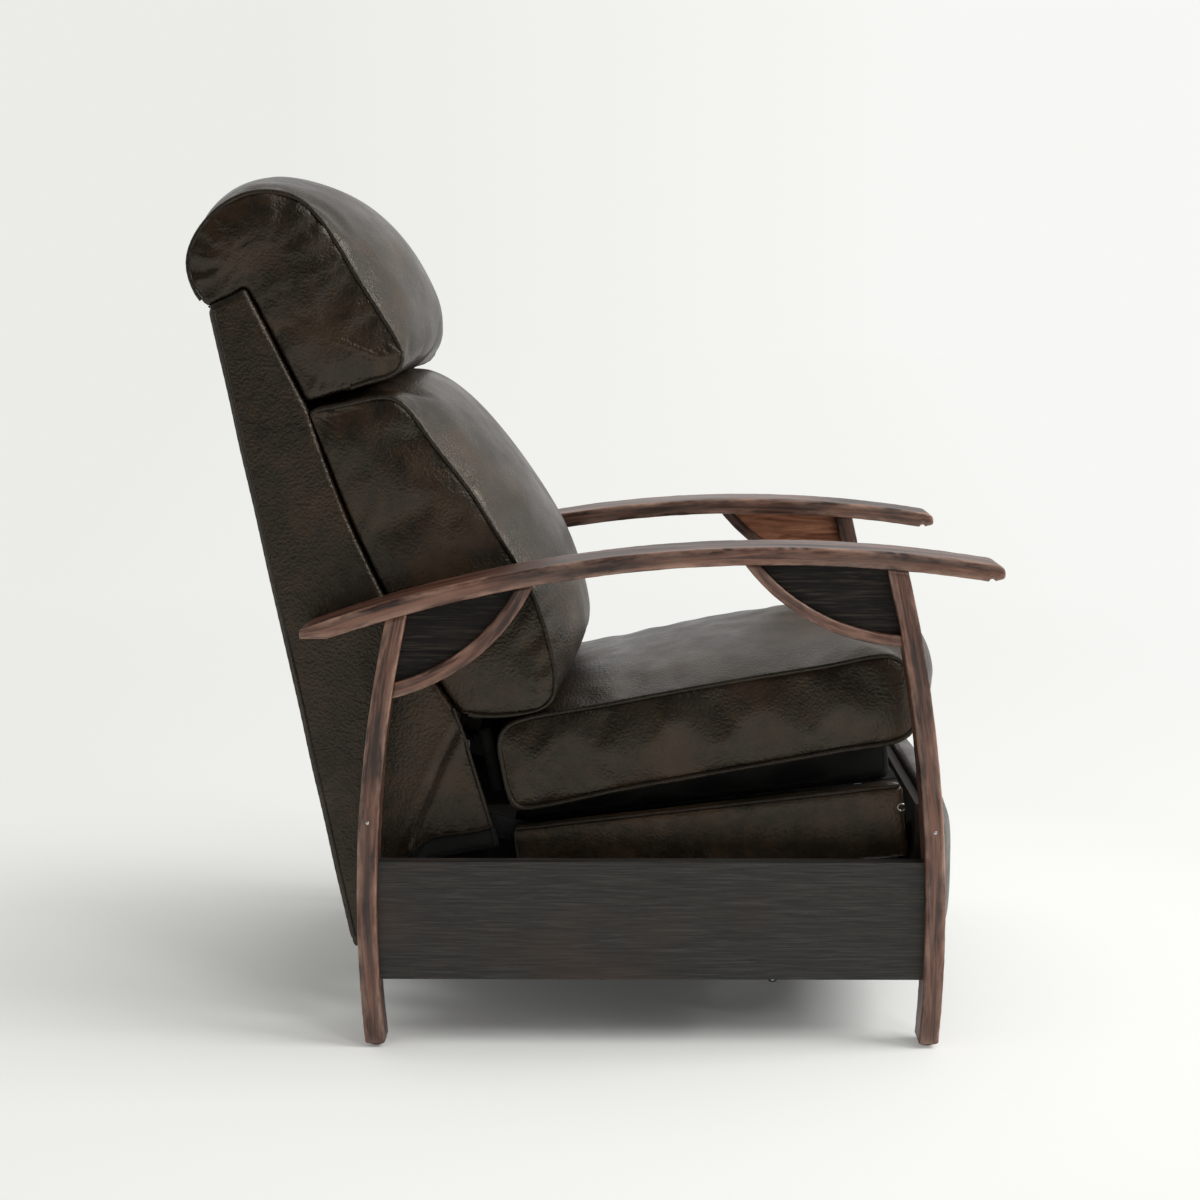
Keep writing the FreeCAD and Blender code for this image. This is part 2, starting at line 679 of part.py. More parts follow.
def bar(name, first, second, half_width, x_span, round_ends=2):
    """A flat bar between two points, round at both or at the first alone."""
    dy, dz = f"({second[0]} - {first[0]})", f"({second[1]} - {first[1]})"
    long = doc.addObject("Part::Box", name + "_bar")
    bind(long, "Length", f"({x_span[1]}) - ({x_span[0]})")
    bind(long, "Width", f"sqrt({dy}^2 + {dz}^2)")
    bind(long, "Height", f"2 * {half_width}")
    long.Placement = FreeCAD.Placement(Vector(), FreeCAD.Rotation(Vector(1, 0, 0), 30))
    angle = f"atan2({dz}; {dy})"
    bind(long, "Placement.Rotation.Angle", angle)
    bind(long, "Placement.Base.x", x_span[0])
    bind(long, "Placement.Base.y", f"{first[0]} + {half_width} * sin({angle})")
    bind(long, "Placement.Base.z", f"{first[1]} - {half_width} * cos({angle})")
    rounds = [prism(f"{name}_end_{i}", *point, half_width, x_span, 12)
              for i, point in enumerate((first, second)[:round_ends])]
    return [long, *rounds]


def link(name, points, x_span, hole_radius="pin_radius + pin_gap"):
    """A link plate through its pivots in order, with a hole at each: a running fit, or the pin's own size."""
    pieces = []
    for i in range(len(points) - 1):
        pieces += bar(f"{name}_{i}", points[i], points[i + 1], "link_half_width", x_span)
    holes = [disc(f"{name}_hole_{i}", *point, hole_radius,
                  (f"({x_span[0]}) - 1", f"({x_span[1]}) + 1")) for i, point in enumerate(points)]
    return cut(name, fuse(name + "_plate", *pieces), *holes)


def pin(name, point, side, inner, outer):
    """A headed pin through two plates; its heads stand clear of the plates that turn on it."""
    reach = span(side, f"{inner} - link_gap", f"{outer} + link_gap")
    shaft = disc(name + "_shaft", *point, "pin_radius", reach)
    heads = [prism(name + "_inner_head", *point, "pin_head_radius",
                     span(side, f"{inner} - link_gap - pin_head_height", f"{inner} - link_gap")),
             prism(name + "_outer_head", *point, "pin_head_radius",
                     span(side, f"{outer} + link_gap", f"{outer} + link_gap + pin_head_height"))]
    return fuse(name, shaft, *heads)


def make_linkage():
    drives, controls, lifts, tilts, plates, brackets = [], [], [], [], [], []
    knee_pins, foot_pins, seat_pins, control_pins = [], [], [], []
    for word, side in SIDES.items():
        drive_span, lift_span = span(side, DRIVE_INNER, DRIVE_OUTER), span(side, LIFT_INNER, LIFT_OUTER)
        drives.append(link(word + "_drive_link", [DRIVE_PIVOT, TILT_KNEE, KNEE], drive_span))
        controls.append(link(word + "_control_link", [CONTROL_PIVOT, CONTROL_KNEE], drive_span))
        lifts.append(link(word + "_lift_link", [CONTROL_KNEE, KNEE, FOOTREST_PIVOT], lift_span))
        tilts.append(link(word + "_tilt_link", [TILT_KNEE, TILT_PIVOT], lift_span))
        plates.append(link(word + "_pivot_plate", [DRIVE_PIVOT, CONTROL_PIVOT], span(side, PLATE_INNER, RAIL_INNER),
                           "pin_radius"))
        board_back = "-footrest_board_setback"
        low = "footrest_pivot_height - footrest_bracket_height / 4"
        brackets.append(slab(word + "_footrest_bracket", WORLD, [
            (board_back, low), (f"{FOOTREST_PIVOT[0]} + link_half_width", low),
            (f"{FOOTREST_PIVOT[0]} + link_half_width", f"{TILT_PIVOT[1]} + link_half_width"),
            (board_back, f"{low} + footrest_bracket_height")], drive_span,
            [(*FOOTREST_PIVOT, "pin_radius + pin_gap"), (*TILT_PIVOT, "pin_radius + pin_gap")]))
        for i, point in enumerate((DRIVE_PIVOT, CONTROL_PIVOT)):
            seat_pins.append(seat_pin(f"{word}_seat_pin_{i}", point, side))
        for i, point in enumerate((KNEE, TILT_KNEE)):
            knee_pins.append(pin(f"{word}_knee_pin_{i}", point, side, LIFT_INNER, DRIVE_OUTER))
        control_pins.append(pin(word + "_control_pin", CONTROL_KNEE, side, LIFT_INNER, DRIVE_OUTER))
        for i, point in enumerate((FOOTREST_PIVOT, TILT_PIVOT)):
            foot_pins.append(pin(f"{word}_foot_pin_{i}", point, side, LIFT_INNER, DRIVE_OUTER))
    for name, pieces in (("drive_links", drives), ("control_links", controls), ("lift_links", lifts),
                         ("tilt_links", tilts), ("footrest_pivot_plates", plates),
                         ("footrest_brackets", brackets), ("seat_pins", seat_pins), ("knee_pins", knee_pins),
                         ("control_pins", control_pins), ("foot_pins", foot_pins)):
        keep(group(name, *pieces), name)
    tube = disc("drive_tube", *along_drive("tube_distance"), "tube_radius", across(DRIVE_INNER))
    keep(tube, "drive_tube")


def seat_pin(name, point, side):
    """A pin set in the pivot plate, with a head inside the link that hangs on it."""
    shaft = disc(name + "_shaft", *point, "pin_radius", span(side, f"{DRIVE_INNER} - link_gap", RAIL_INNER))
    head = prism(name + "_head", *point, "pin_head_radius",
                   span(side, f"{DRIVE_INNER} - link_gap - pin_head_height", f"{DRIVE_INNER} - link_gap"))
    return fuse(name, shaft, head)


def section(points, x):
    """A closed wire at one X from (y, z) corners; a via point is passed on the way to the next."""
    edges = []
    for i, corner in enumerate(points):
        start = Vector(x, *corner[0])
        end = Vector(x, *points[(i + 1) % len(points)][0])
        stops = [start, Vector(x, *corner[1]), end] if len(corner) == 2 else [start, end]
        edges += [Part.LineSegment(a, b).toShape() for a, b in zip(stops, stops[1:])]
    return Part.Wire(edges)


def drawn_in(points, amount):
    """An outline moved towards its middle, as a cushion's side is drawn in by its seam."""
    moved = []
    flat = [place for corner in points for place in corner]
    limits = [(min(axis), max(axis)) for axis in zip(*flat)]
    for corner in points:
        moved.append([tuple((low + high) / 2 + (value - (low + high) / 2) * (1 - 2 * amount / (high - low))
                            for value, (low, high) in zip(place, limits)) for place in corner])
    return moved


def cushion(name, frame, half_width, outline):
    """A soft solid lofted across the chair; outline(fullness) gives its side view from edge to middle."""
    half = number(half_width)
    draw = number("side_draw")
    edge = 1 - draw / half
    crown_half = number("crown_half")
    rim = 1 - edge ** 2.2
    wires = []
    for station, fullness in ((-1, 0), (-edge, rim), (-crown_half, 1), (crown_half, 1), (edge, rim), (1, 0)):
        points = outline(fullness)
        wires.append(section(drawn_in(points, draw) if abs(station) == 1 else points, station * half))
    obj = doc.addObject("Part::Feature", name)
    obj.Shape = Part.makeLoft(wires, True, True)
    lean(obj, frame)
    return keep(obj, name)


def seat_cushion_outline(full):
    length = number("seat_cushion_length") + number("seat_cushion_front_crown") * full
    thick = number("seat_cushion_thickness")
    crown = number("seat_cushion_crown") * full
    corner = number("seat_cushion_corner") + number("seat_cushion_corner_crown") * full
    bulge = number("seat_cushion_bulge")
    top_front = thick + crown * 0.35
    return [
        [(0, 0)],
        [(corner - length, 0)],
        [(-length, corner), (-length - bulge, thick / 2)],
        [(-length, top_front - corner)],
        [(corner - length, top_front), (-length * 0.56, thick + crown + number("seat_cushion_top_bow"))],
        [(0, thick), (bulge, thick / 2)],
    ]


def back_depths(points):
    """Depth and height pairs as drawing coordinates: depth runs forward, towards -Y."""
    return [[(-depth, height) for depth, height in corner] for corner in points]


def lumbar_outline(full):
    gap = number("soft_gap")
    crown = number("lumbar_crown") * full
    corner = number("lumbar_corner")
    top = number("wing_split - cushion_split_gap")
    shoulder_depth, shoulder = number("lumbar_shoulder_depth"), number("lumbar_shoulder")
    nose_depth, bottom = number("lumbar_nose_depth"), number("lumbar_bottom")
    middle = wing_front_middle()
    return back_depths([
        [(number("wing_split_depth") + gap, top)],
        [(number("lumbar_top_depth") + crown * 0.4, top + crown * 0.25)],
        [(shoulder_depth + crown * 0.7 - corner / 2, shoulder + corner + crown * 0.25)],
        [(shoulder_depth + crown * 0.85, shoulder + crown * 0.1),
         (number("lumbar_belly_depth") + crown * 1.1, number("lumbar_belly"))],
        [(nose_depth + crown * 0.75, number("lumbar_nose") + crown * 0.35)],
        [(nose_depth + crown * 0.6 - corner / 4, bottom + corner + crown * 0.3)],
        [(number("lumbar_bottom_depth") + crown * 0.35, bottom + crown * 0.3)],
        [(number("wing_waist_depth") + gap, number("wing_waist")), (middle[0] + gap, middle[1])],
    ])


def wing_front_middle():
    """Depth and height of the middle of the wing's curved front edge."""
    lower = Vector(number("wing_waist_depth"), number("wing_waist"), 0)
    upper = Vector(number("wing_split_depth"), number("wing_split"), 0)
    chord = upper - lower
    bend = number("wing_waist_bend")
    sag = bend - math.sqrt(bend ** 2 - chord.Length ** 2 / 4)
    inward = Vector(-chord.y, chord.x, 0).normalize()
    middle = (lower + upper) / 2 + inward * sag
    return middle.x, middle.y


def head_outline(full):
    gap = number("soft_gap")
    crown = number("head_crown") * full
    corner = number("head_corner")
    back = -number("head_back_overhang") - crown * 0.1
    back_top = number("back_top + head_seat_gap")
    chin_depth, chin = number("head_chin_depth"), number("head_chin")
    brow_depth, brow = number("head_brow_depth"), number("head_brow")
    nape = number("head_nape")
    return back_depths([
        [(number("wing_split_depth") + gap, number("wing_split + cushion_split_gap"))],
        [(number("head_bottom_depth") + crown * 0.5, number("wing_split + head_bottom_rise"))],
        [(chin_depth + crown * 0.8 - corner / 4, chin - corner)],
        [(chin_depth + crown, chin + crown * 0.3),
         ((chin_depth + brow_depth) / 2 + corner * 0.6 + crown * 1.1, (chin + brow) / 2 + crown * 0.5)],
        [(brow_depth + crown * 0.9, brow + crown * 0.7)],
        [(number("head_top_depth") + crown * 0.3, number("head_top") + crown)],
        [(number("head_nape_depth"), nape + crown)],
        [(0, nape - number("head_nape_corner") + crown * 0.7)],
        [(back, nape - number("head_nape_drop") + crown * 0.2)],
        [(-corner / 4, back_top)],
        [(number("outside_back_thickness"), back_top + number("wing_top_step"))],
        [(number("wing_top_depth") + gap, number("wing_top + head_seat_gap"))],
    ])


def footrest_outline(full):
    back = -number("footrest_board_setback + footrest_board_thickness + soft_gap")
    front = back - number("footrest_edge_depth") - number("footrest_crown") * full
    low = number("footrest_bottom")
    high = low + number("footrest_height")
    corner = number("footrest_corner") + number("footrest_corner_crown") * full
    return [
        [(back, low)],
        [(back, high)],
        [(front + corner, high)],
        [(front, high - corner * 1.5), (front - number("footrest_bulge"), (low + high) / 2)],
        [(front, low + corner * 1.5)],
        [(front + corner, low)],
    ]


def make_footrest():
    back = "-footrest_board_setback"
    margin = "footrest_board_margin"
    keep(slab("footrest_board", WORLD,
              rectangle(f"{back} - footrest_board_thickness", back, f"footrest_bottom + {margin}",
                        f"footrest_bottom + footrest_height - {margin}"),
              across(f"{LEG_INNER} - footrest_side_gap - {margin}")), "footrest_board")
    cushion("footrest_pad", WORLD, f"{LEG_INNER} - footrest_side_gap", footrest_outline)


def depth(value):
    return f"-({value})"


WING_FRONT = [
    (depth("wing_top_depth"), "wing_top"),
    (depth("wing_split_depth"), "wing_split", "wing_waist_bend", -1),
    (depth("wing_waist_depth"), "wing_waist"),
    (depth("wing_foot_depth"), "wing_foot"),
]


def make_back():
    shell = "outside_back_thickness"
    rear = depth(shell)
    for word, side in SIDES.items():
        keep(slab(word + "_wing", BACK, [
            (rear, "back_top + wing_top_step"), *WING_FRONT,
            (depth("wing_heel_depth"), "wing_foot + 2"),
            (depth("wing_toe_depth"), "back_bottom"), (rear, "back_bottom")],
            span(side, WING_INNER, WING_OUTER)), word + "_wing")
        keep(slab(word + "_back_post", BACK,
                  rectangle(depth(f"{shell} + post_depth"), rear, "post_bottom", "back_top - post_top_drop"),
                  span(side, POST_INNER, WING_INNER)), word + "_back_post")
    keep(slab("outside_back", BACK,
              [("0", "back_bottom + outside_back_heel"), ("0", "back_top"), (rear, "back_top"), (rear, "back_bottom"),
               (depth(f"{shell} - 2"), "back_bottom")],
              across(WING_OUTER)), "outside_back")
    inner = across(POST_INNER)
    rail_front = depth(f"{shell} + back_rail_thickness")
    rails = []
    for name, low in (("back_top_rail", "back_top - back_rail_height"),
                      ("back_middle_rail", "back_middle_rail"), ("back_bottom_rail", "post_bottom")):
        rails.append(slab(name, BACK, rectangle(rail_front, rear, low, f"{low} + back_rail_height"), inner))
    keep(group("back_rails", *rails), "back_rails")
    strap_back = depth(f"{shell} + post_depth")
    strap_front = depth(f"{shell} + post_depth + strap_thickness")
    straps = []
    for i in range(5):
        low = f"(back_middle_rail + back_rail_height + {i} * back_strap_step)"
        straps.append(slab(f"back_strap_{i}", BACK, rectangle(strap_front, strap_back, low, f"{low} + strap_width"),
                           across(WING_INNER)))
    keep(group("back_webbing", *straps), "back_webbing")
    foam_back = depth(f"{shell} + post_depth + strap_thickness + soft_gap")
    keep(slab("back_foam", BACK, [
        (foam_back, "wing_split"), (depth("wing_split_depth"), "wing_split", "wing_waist_bend", -1),
        (depth("wing_waist_depth"), "wing_waist"), (foam_back, "wing_waist")],
        across(f"{WING_INNER} - foam_inset")), "back_foam")


HINGE = ("hinge_y", "hinge_height")


def make_hinge():
    arms, plates, pins = [], [], []
    for word, side in SIDES.items():
        arm_root = seat_point("seat_rear_reach - hinge_arm_overlap", "-apron_top - seat_rail_height / 2")
        arm_span = span(side, PLATE_INNER, RAIL_INNER)
        name = word + "_hinge_arm"
        arm = fuse(name + "_plate", *bar(name, HINGE, arm_root, "hinge_half_width", arm_span, 1))
        arms.append(cut(name, arm, disc(name + "_hole", *HINGE, "hinge_pin_radius",
                                        span(side, f"{PLATE_INNER} - 1", f"{RAIL_INNER} + 1"))))
        name = word + "_hinge_plate"
        reach = "(outside_back_thickness + post_depth / 2)"
        foot = (f"(back_line_y + hinge_height * sin(back_lean) - {reach} * cos(back_lean))",
                f"(hinge_height * cos(back_lean) + {reach} * sin(back_lean))")
        head = (f"({foot[0]} + hinge_tail * sin(back_lean))", f"({foot[1]} + hinge_tail * cos(back_lean))")
        plate_span = span(side, HINGE_PLATE_INNER, POST_INNER)
        plate = fuse(name + "_plate", *bar(name, HINGE, foot, "hinge_half_width", plate_span),
                     *bar(name + "_tail", foot, head, "hinge_half_width", plate_span, 1))
        plates.append(cut(name, plate, disc(name + "_hole", *HINGE, "hinge_pin_radius + pin_gap",
                                            span(side, f"{HINGE_PLATE_INNER} - 1", f"{POST_INNER} + 1"))))
        name = word + "_hinge_pin"
        shaft = disc(name + "_shaft", *HINGE, "hinge_pin_radius",
                     span(side, f"{HINGE_PLATE_INNER} - link_gap", RAIL_INNER))
        shoulder = disc(name + "_shoulder", *HINGE, "hinge_pin_radius + shoulder_wall",
                        span(side, f"{POST_INNER} + link_gap", PLATE_INNER))
        nut = prism(name + "_nut", *HINGE, "hinge_pin_radius + shoulder_wall",
                      span(side, f"{HINGE_PLATE_INNER} - link_gap - pin_head_height",
                           f"{HINGE_PLATE_INNER} - link_gap"))
        pins.append(fuse(name, shaft, shoulder, nut))
    for name, pieces in (("hinge_arms", arms), ("hinge_plates", plates), ("hinge_pins", pins)):
        keep(group(name, *pieces), name)


make_frame()
for word, side in SIDES.items():
    make_track(word, side)
make_screws()
make_seat()
CUSHION = ("seat_pitch + cushion_rise",
           *seat_point("seat_rear_reach - cushion_setback", "deck_thickness + soft_gap"))
cushion("seat_cushion", CUSHION, f"{WING_OUTER} - 1", seat_cushion_outline)
make_linkage()
make_footrest()
make_back()
make_hinge()
cushion("lumbar_cushion", BACK, CUSHION_SIDE, lumbar_outline)
cushion("head_cushion", BACK, CUSHION_SIDE, head_outline)
doc.recompute()

faults = [obj.Name for obj in doc.Objects if {"Invalid", "Error"} & set(obj.State)]
for node in nodes:
    if node.Shape.isNull() or not node.Shape.isValid() or not node.Shape.Solids:
        faults.append(node.Label + " shape")
if faults:
    raise RuntimeError("faulty objects: " + ", ".join(faults))

os.makedirs("parts", exist_ok=True)
for node in nodes:
    node.Shape.exportStep(f"parts/{node.Label}.step")
    print(f"{node.Label}: {len(node.Shape.Solids)} solids, {node.Shape.Volume / 1000:.1f} cm3")
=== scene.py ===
import math
import time
import bpy
import bmesh
import numpy as np
from mathutils import Matrix, Vector, noise


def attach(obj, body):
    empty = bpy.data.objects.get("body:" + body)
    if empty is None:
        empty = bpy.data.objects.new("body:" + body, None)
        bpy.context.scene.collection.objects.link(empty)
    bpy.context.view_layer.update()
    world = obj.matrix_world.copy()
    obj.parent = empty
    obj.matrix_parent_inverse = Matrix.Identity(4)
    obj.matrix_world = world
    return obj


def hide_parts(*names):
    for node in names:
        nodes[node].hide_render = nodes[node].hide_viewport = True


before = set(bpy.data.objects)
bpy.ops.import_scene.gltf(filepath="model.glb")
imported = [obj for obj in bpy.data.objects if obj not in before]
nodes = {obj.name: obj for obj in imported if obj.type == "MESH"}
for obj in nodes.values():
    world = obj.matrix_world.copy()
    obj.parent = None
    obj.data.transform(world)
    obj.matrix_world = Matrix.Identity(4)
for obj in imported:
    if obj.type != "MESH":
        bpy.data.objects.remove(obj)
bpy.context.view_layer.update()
scene = bpy.context.scene
mm = 0.001
sides = {"left": 1, "right": -1}
began = time.perf_counter()
noise.seed_set(5)  # vector noise takes its offsets from the clock otherwise


def say(text):
    print(f"recliner: {text} at {time.perf_counter() - began:.1f} s")


def newObject(name, data):
    obj = bpy.data.objects.new(name, data)
    scene.collection.objects.link(obj)
    return obj


# camera at the photograph's place, looking along +X at the sitter's right side
cameraSpec = {"place": (-3.2555, -0.030, 0.9955), "lens": 68.1, "down": 7.900, "turn": 0.375}


def makeCamera(spec):
    camera = newObject("camera", bpy.data.cameras.new("camera"))
    camera.data.lens = spec["lens"]
    camera.data.sensor_width = 36
    camera.data.clip_end = 100
    down, turn = math.radians(spec["down"]), math.radians(spec["turn"])
    forward = Vector((math.cos(down) * math.cos(turn), math.cos(down) * math.sin(turn), -math.sin(down)))
    right = Vector((math.sin(turn), -math.cos(turn), 0))
    up = right.cross(forward)
    turned = Matrix((right, up, -forward)).transposed()
    camera.matrix_world = Matrix.Translation(spec["place"]) @ turned.to_4x4()
    scene.camera = camera


makeCamera(cameraSpec)
scene.view_settings.view_transform = "Standard"


# node helpers
class Wiring:
    def __init__(self, tree):
        self.tree = tree

    def add(self, kind, inputs=None, **settings):
        made = self.tree.nodes.new(kind)
        for key, value in settings.items():
            setattr(made, key, value)
        for key, value in (inputs or {}).items():
            self.feed(made.inputs[key], value)
        return made

    def feed(self, socket, value):
        if isinstance(value, bpy.types.NodeSocket):
            self.tree.links.new(value, socket)
        else:
            socket.default_value = value

    def coords(self, scale=(1, 1, 1), attribute=None, shift=(0, 0, 0)):
        if attribute:
            source = self.add("ShaderNodeAttribute", attribute_name=attribute).outputs["Vector"]
        else:
            source = self.add("ShaderNodeTexCoord").outputs["Object"]
        return self.add("ShaderNodeMapping", {"Vector": source, "Scale": scale,
                                              "Location": shift}).outputs["Vector"]

    def noise(self, vector, scale, detail=4.0, rough=0.55, distortion=0.0):
        return self.add("ShaderNodeTexNoise", {"Vector": vector, "Scale": scale, "Detail": detail,
                                               "Roughness": rough, "Distortion": distortion}).outputs["Fac"]

    def ramp(self, factor, *stops):
        made = self.add("ShaderNodeValToRGB", {"Fac": factor})
        bar = made.color_ramp.elements
        while len(bar) < len(stops):
            bar.new(0.5)
        for element, (place, colour) in zip(bar, stops):
            element.position = place
            element.color = (*colour, 1)
        return made.outputs["Color"]

    def grey(self, factor, low, high, fromLow=0.0, fromHigh=1.0):
        return self.add("ShaderNodeMapRange", {"Value": factor, "From Min": fromLow, "From Max": fromHigh,
                                               "To Min": low, "To Max": high}).outputs["Result"]

    def mix(self, factor, first, second):
        made = self.add("ShaderNodeMix", data_type="RGBA")
        self.feed(made.inputs[0], factor)
        self.feed(made.inputs[6], first if not isinstance(first, tuple) else (*first, 1))
        self.feed(made.inputs[7], second if not isinstance(second, tuple) else (*second, 1))
        return made.outputs[2]

    def math(self, operation, first, second=0.0, third=None):
        inputs = {0: first, 1: second}
        if third is not None:
            inputs[2] = third
        return self.add("ShaderNodeMath", inputs, operation=operation).outputs[0]

    def bump(self, height, strength, distance, after=None):
        inputs = {"Height": height, "Strength": strength, "Distance": distance}
        if after is not None:
            inputs["Normal"] = after
        return self.add("ShaderNodeBump", inputs).outputs["Normal"]


class Paint(Wiring):
    sockets = {"colour": "Base Color", "roughness": "Roughness", "normal": "Normal", "metal": "Metallic",
               "specular": "Specular IOR Level", "tint": "Specular Tint"}

    def __init__(self, name):
        self.material = bpy.data.materials.new(name)
        self.material.use_nodes = True
        super().__init__(self.material.node_tree)
        self.shader = self.tree.nodes["Principled BSDF"]
        self.output = self.tree.nodes["Material Output"]

    def finish(self, **values):
        for key, value in values.items():
            if key in ("colour", "tint") and isinstance(value, tuple):
                value = (*value, 1)
            self.feed(self.shader.inputs[self.sockets[key]], value)
        return self.material


# leather: dark patches worn to a warm brown, with a pebbled grain
leatherSpec = {"dark": (0.0036, 0.0028, 0.0017), "mid": (0.0095, 0.0064, 0.0036),
               "warm": (0.038, 0.0205, 0.0100), "tint": (1.0, 0.90, 0.76), "roughLow": 0.30, "roughHigh": 0.45,
               "patchScale": 8.0, "grainScale": 290.0, "crease": (0.10, 0.0016), "pebble": (0.52, 0.0013)}
# welts: a darker copy of the leather, painted shade for the shaded grooves either side of the piping
weltPaintedShadeSpec = {**leatherSpec, "dark": (0.0026, 0.0021, 0.0014), "mid": (0.0060, 0.0044, 0.0028),
            "warm": (0.020, 0.0115, 0.0062), "roughLow": 0.36, "roughHigh": 0.50}
# aprons: a lighter copy of the leather, painted light that lifts the shade they sit in
apronPaintedLightSpec = {**leatherSpec, "dark": (0.0085, 0.0066, 0.0040), "mid": (0.020, 0.0140, 0.0082),
                    "warm": (0.060, 0.0340, 0.0175)}


def makeLeather(name, spec):
    paint = Paint(name)
    place = paint.coords()
    patches = paint.noise(place, spec["patchScale"], 6, 0.62, 0.6)
    flecks = paint.noise(place, spec["patchScale"] * 7, 5, 0.6)
    base = paint.ramp(patches, (0.36, spec["dark"]), (0.50, spec["mid"]), (0.70, spec["warm"]))
    colour = paint.mix(paint.grey(flecks, 0.0, 0.55, 0.42, 0.75), base, spec["warm"])
    pebble = paint.add("ShaderNodeTexVoronoi", {"Vector": place, "Scale": spec["grainScale"]},
                       feature="SMOOTH_F1").outputs["Distance"]
    fine = paint.noise(place, spec["grainScale"] * 3, 3)
    creases = paint.noise(place, 26, 5, 0.6, 1.4)
    rough = paint.grey(paint.noise(place, 18, 4), spec["roughLow"], spec["roughHigh"], 0.3, 0.7)
    normal = paint.bump(creases, *spec["crease"])
    normal = paint.bump(paint.math("MULTIPLY_ADD", fine, 0.25, pebble), *spec["pebble"], normal)
    return paint.finish(colour=colour, roughness=rough, normal=normal, specular=0.5, tint=spec["tint"])


# stave wood: streaks along the stave, burnt patches, pale worn edges
staveSpec = {"dark": (0.021, 0.0078, 0.0046), "mid": (0.080, 0.0292, 0.0165), "light": (0.172, 0.075, 0.047),
             "worn": (0.40, 0.235, 0.168), "burn": (0.0085, 0.0055, 0.0042)}


def makeStaveWood(spec):
    paint = Paint("staveWood")
    grainPlace = paint.coords((1, 0.05, 1), "grain")
    longPlace = paint.coords((1, 0.22, 1), "grain")
    streak = paint.noise(grainPlace, 130, 6, 0.62, 0.8)
    pores = paint.noise(grainPlace, 620, 3, 0.6)
    patch = paint.noise(longPlace, 15, 4, 0.55, 0.4)
    colour = paint.ramp(streak, (0.39, spec["dark"]), (0.50, spec["mid"]), (0.62, spec["light"]))
    burnt = paint.grey(patch, 0.0, 0.92, 0.53, 0.66)
    colour = paint.mix(burnt, colour, spec["burn"])
    wear = paint.add("ShaderNodeAttribute", attribute_name="wear").outputs["Fac"]
    rub = paint.noise(longPlace, 60, 5, 0.65)
    worn = paint.math("MULTIPLY", wear, paint.grey(rub, 0.0, 0.85, 0.42, 0.68))
    colour = paint.mix(worn, colour, spec["worn"])
    colour = paint.mix(paint.grey(wear, 0.9, 0.0, -0.8, -0.15), colour, spec["burn"])  # nicks
    rough = paint.grey(patch, 0.32, 0.52, 0.3, 0.7)
    normal = paint.bump(paint.math("MULTIPLY_ADD", pores, 0.35, streak), 0.35, 0.0012)
    return paint.finish(colour=colour, roughness=rough, normal=normal, specular=0.6)


# boards: near black outside; the arm boards are reddish inside, that inside colour raised as painted light
# where those faces sit in shade
boardSpec = {"dark": (0.0100, 0.0094, 0.0075), "mid": (0.0225, 0.0212, 0.0176),
             "light": (0.050, 0.0455, 0.038), "glow": (0.060, 0.029, 0.019), "shine": 0.42,
             "innerDark": (0.012, 0.008, 0.006), "innerLight": (0.030, 0.020, 0.014)}
# arm boards: the inside colours are reddish wood brightened with painted light, lifting faces that render in
# shade
armBoardSpec = {**boardSpec, "shine": 0.2, "innerDark": (0.24, 0.084, 0.044), "innerLight": (0.80, 0.36, 0.21),
                "dark": (0.0032, 0.0028, 0.0021), "mid": (0.0070, 0.0060, 0.0046),
                "light": (0.046, 0.036, 0.027), "glow": (0.034, 0.016, 0.010)}


def makeBoardWood(name, spec):
    paint = Paint(name)
    linePlace = paint.coords((1, 0.035, 1))
    wavyPlace = paint.coords((1, 0.12, 1))
    lines = paint.noise(linePlace, 360, 5, 0.7, 0.5)
    broad = paint.noise(linePlace, 40, 3, 0.5)
    patch = paint.noise(paint.coords((1, 0.6, 1)), 7, 4, 0.55)
    outside = paint.ramp(lines, (0.38, spec["dark"]), (0.51, spec["mid"]), (0.68, spec["light"]))
    outside = paint.mix(paint.grey(patch, 0.0, 0.55, 0.52, 0.75), outside, spec["glow"])
    wavy = paint.noise(wavyPlace, 55, 5, 0.6, 1.6)
    # inside faces: for the arm boards this colour holds painted light as well as the reddish wood
    inside = paint.ramp(wavy, (0.34, spec["innerDark"]), (0.66, spec["innerLight"]))
    normalX = paint.add("ShaderNodeSeparateXYZ",
                        {"Vector": paint.add("ShaderNodeNewGeometry").outputs["True Normal"]}).outputs["X"]
    placeX = paint.add("ShaderNodeSeparateXYZ", {"Vector": paint.coords()}).outputs["X"]
    facesOut = paint.math("GREATER_THAN", paint.math("MULTIPLY", normalX, placeX), -0.05)
    colour = paint.mix(facesOut, inside, outside)
    normal = paint.bump(paint.math("MULTIPLY_ADD", broad, 0.6, lines), 0.45, 0.0011)
    return paint.finish(colour=colour, roughness=paint.grey(lines, 0.46, 0.64, 0.3, 0.7), normal=normal,
                        specular=spec["shine"])


def makeRailWood():
    paint = Paint("railWood")
    streak = paint.noise(paint.coords((0.08, 1, 1)), 90, 5, 0.6, 0.5)
    colour = paint.ramp(streak, (0.3, (0.010, 0.007, 0.005)), (0.7, (0.030, 0.020, 0.013)))
    return paint.finish(colour=colour, roughness=paint.grey(streak, 0.55, 0.7),
                        normal=paint.bump(streak, 0.25, 0.0006), specular=0.35)


def makeCloth():
    paint = Paint("blackLiningCloth")
    place = paint.coords()
    warp, weft = (paint.add("ShaderNodeTexWave", {"Vector": place, "Scale": 260.0, "Distortion": 0.6},
                            bands_direction=axis).outputs["Fac"] for axis in "XY")
    weave = paint.math("MULTIPLY", warp, weft)
    colour = paint.ramp(weave, (0.1, (0.006, 0.006, 0.006)), (0.9, (0.022, 0.021, 0.019)))
    return paint.finish(colour=colour, roughness=paint.grey(weave, 0.95, 0.8),
                        normal=paint.bump(weave, 0.3, 0.0005), specular=0.2)


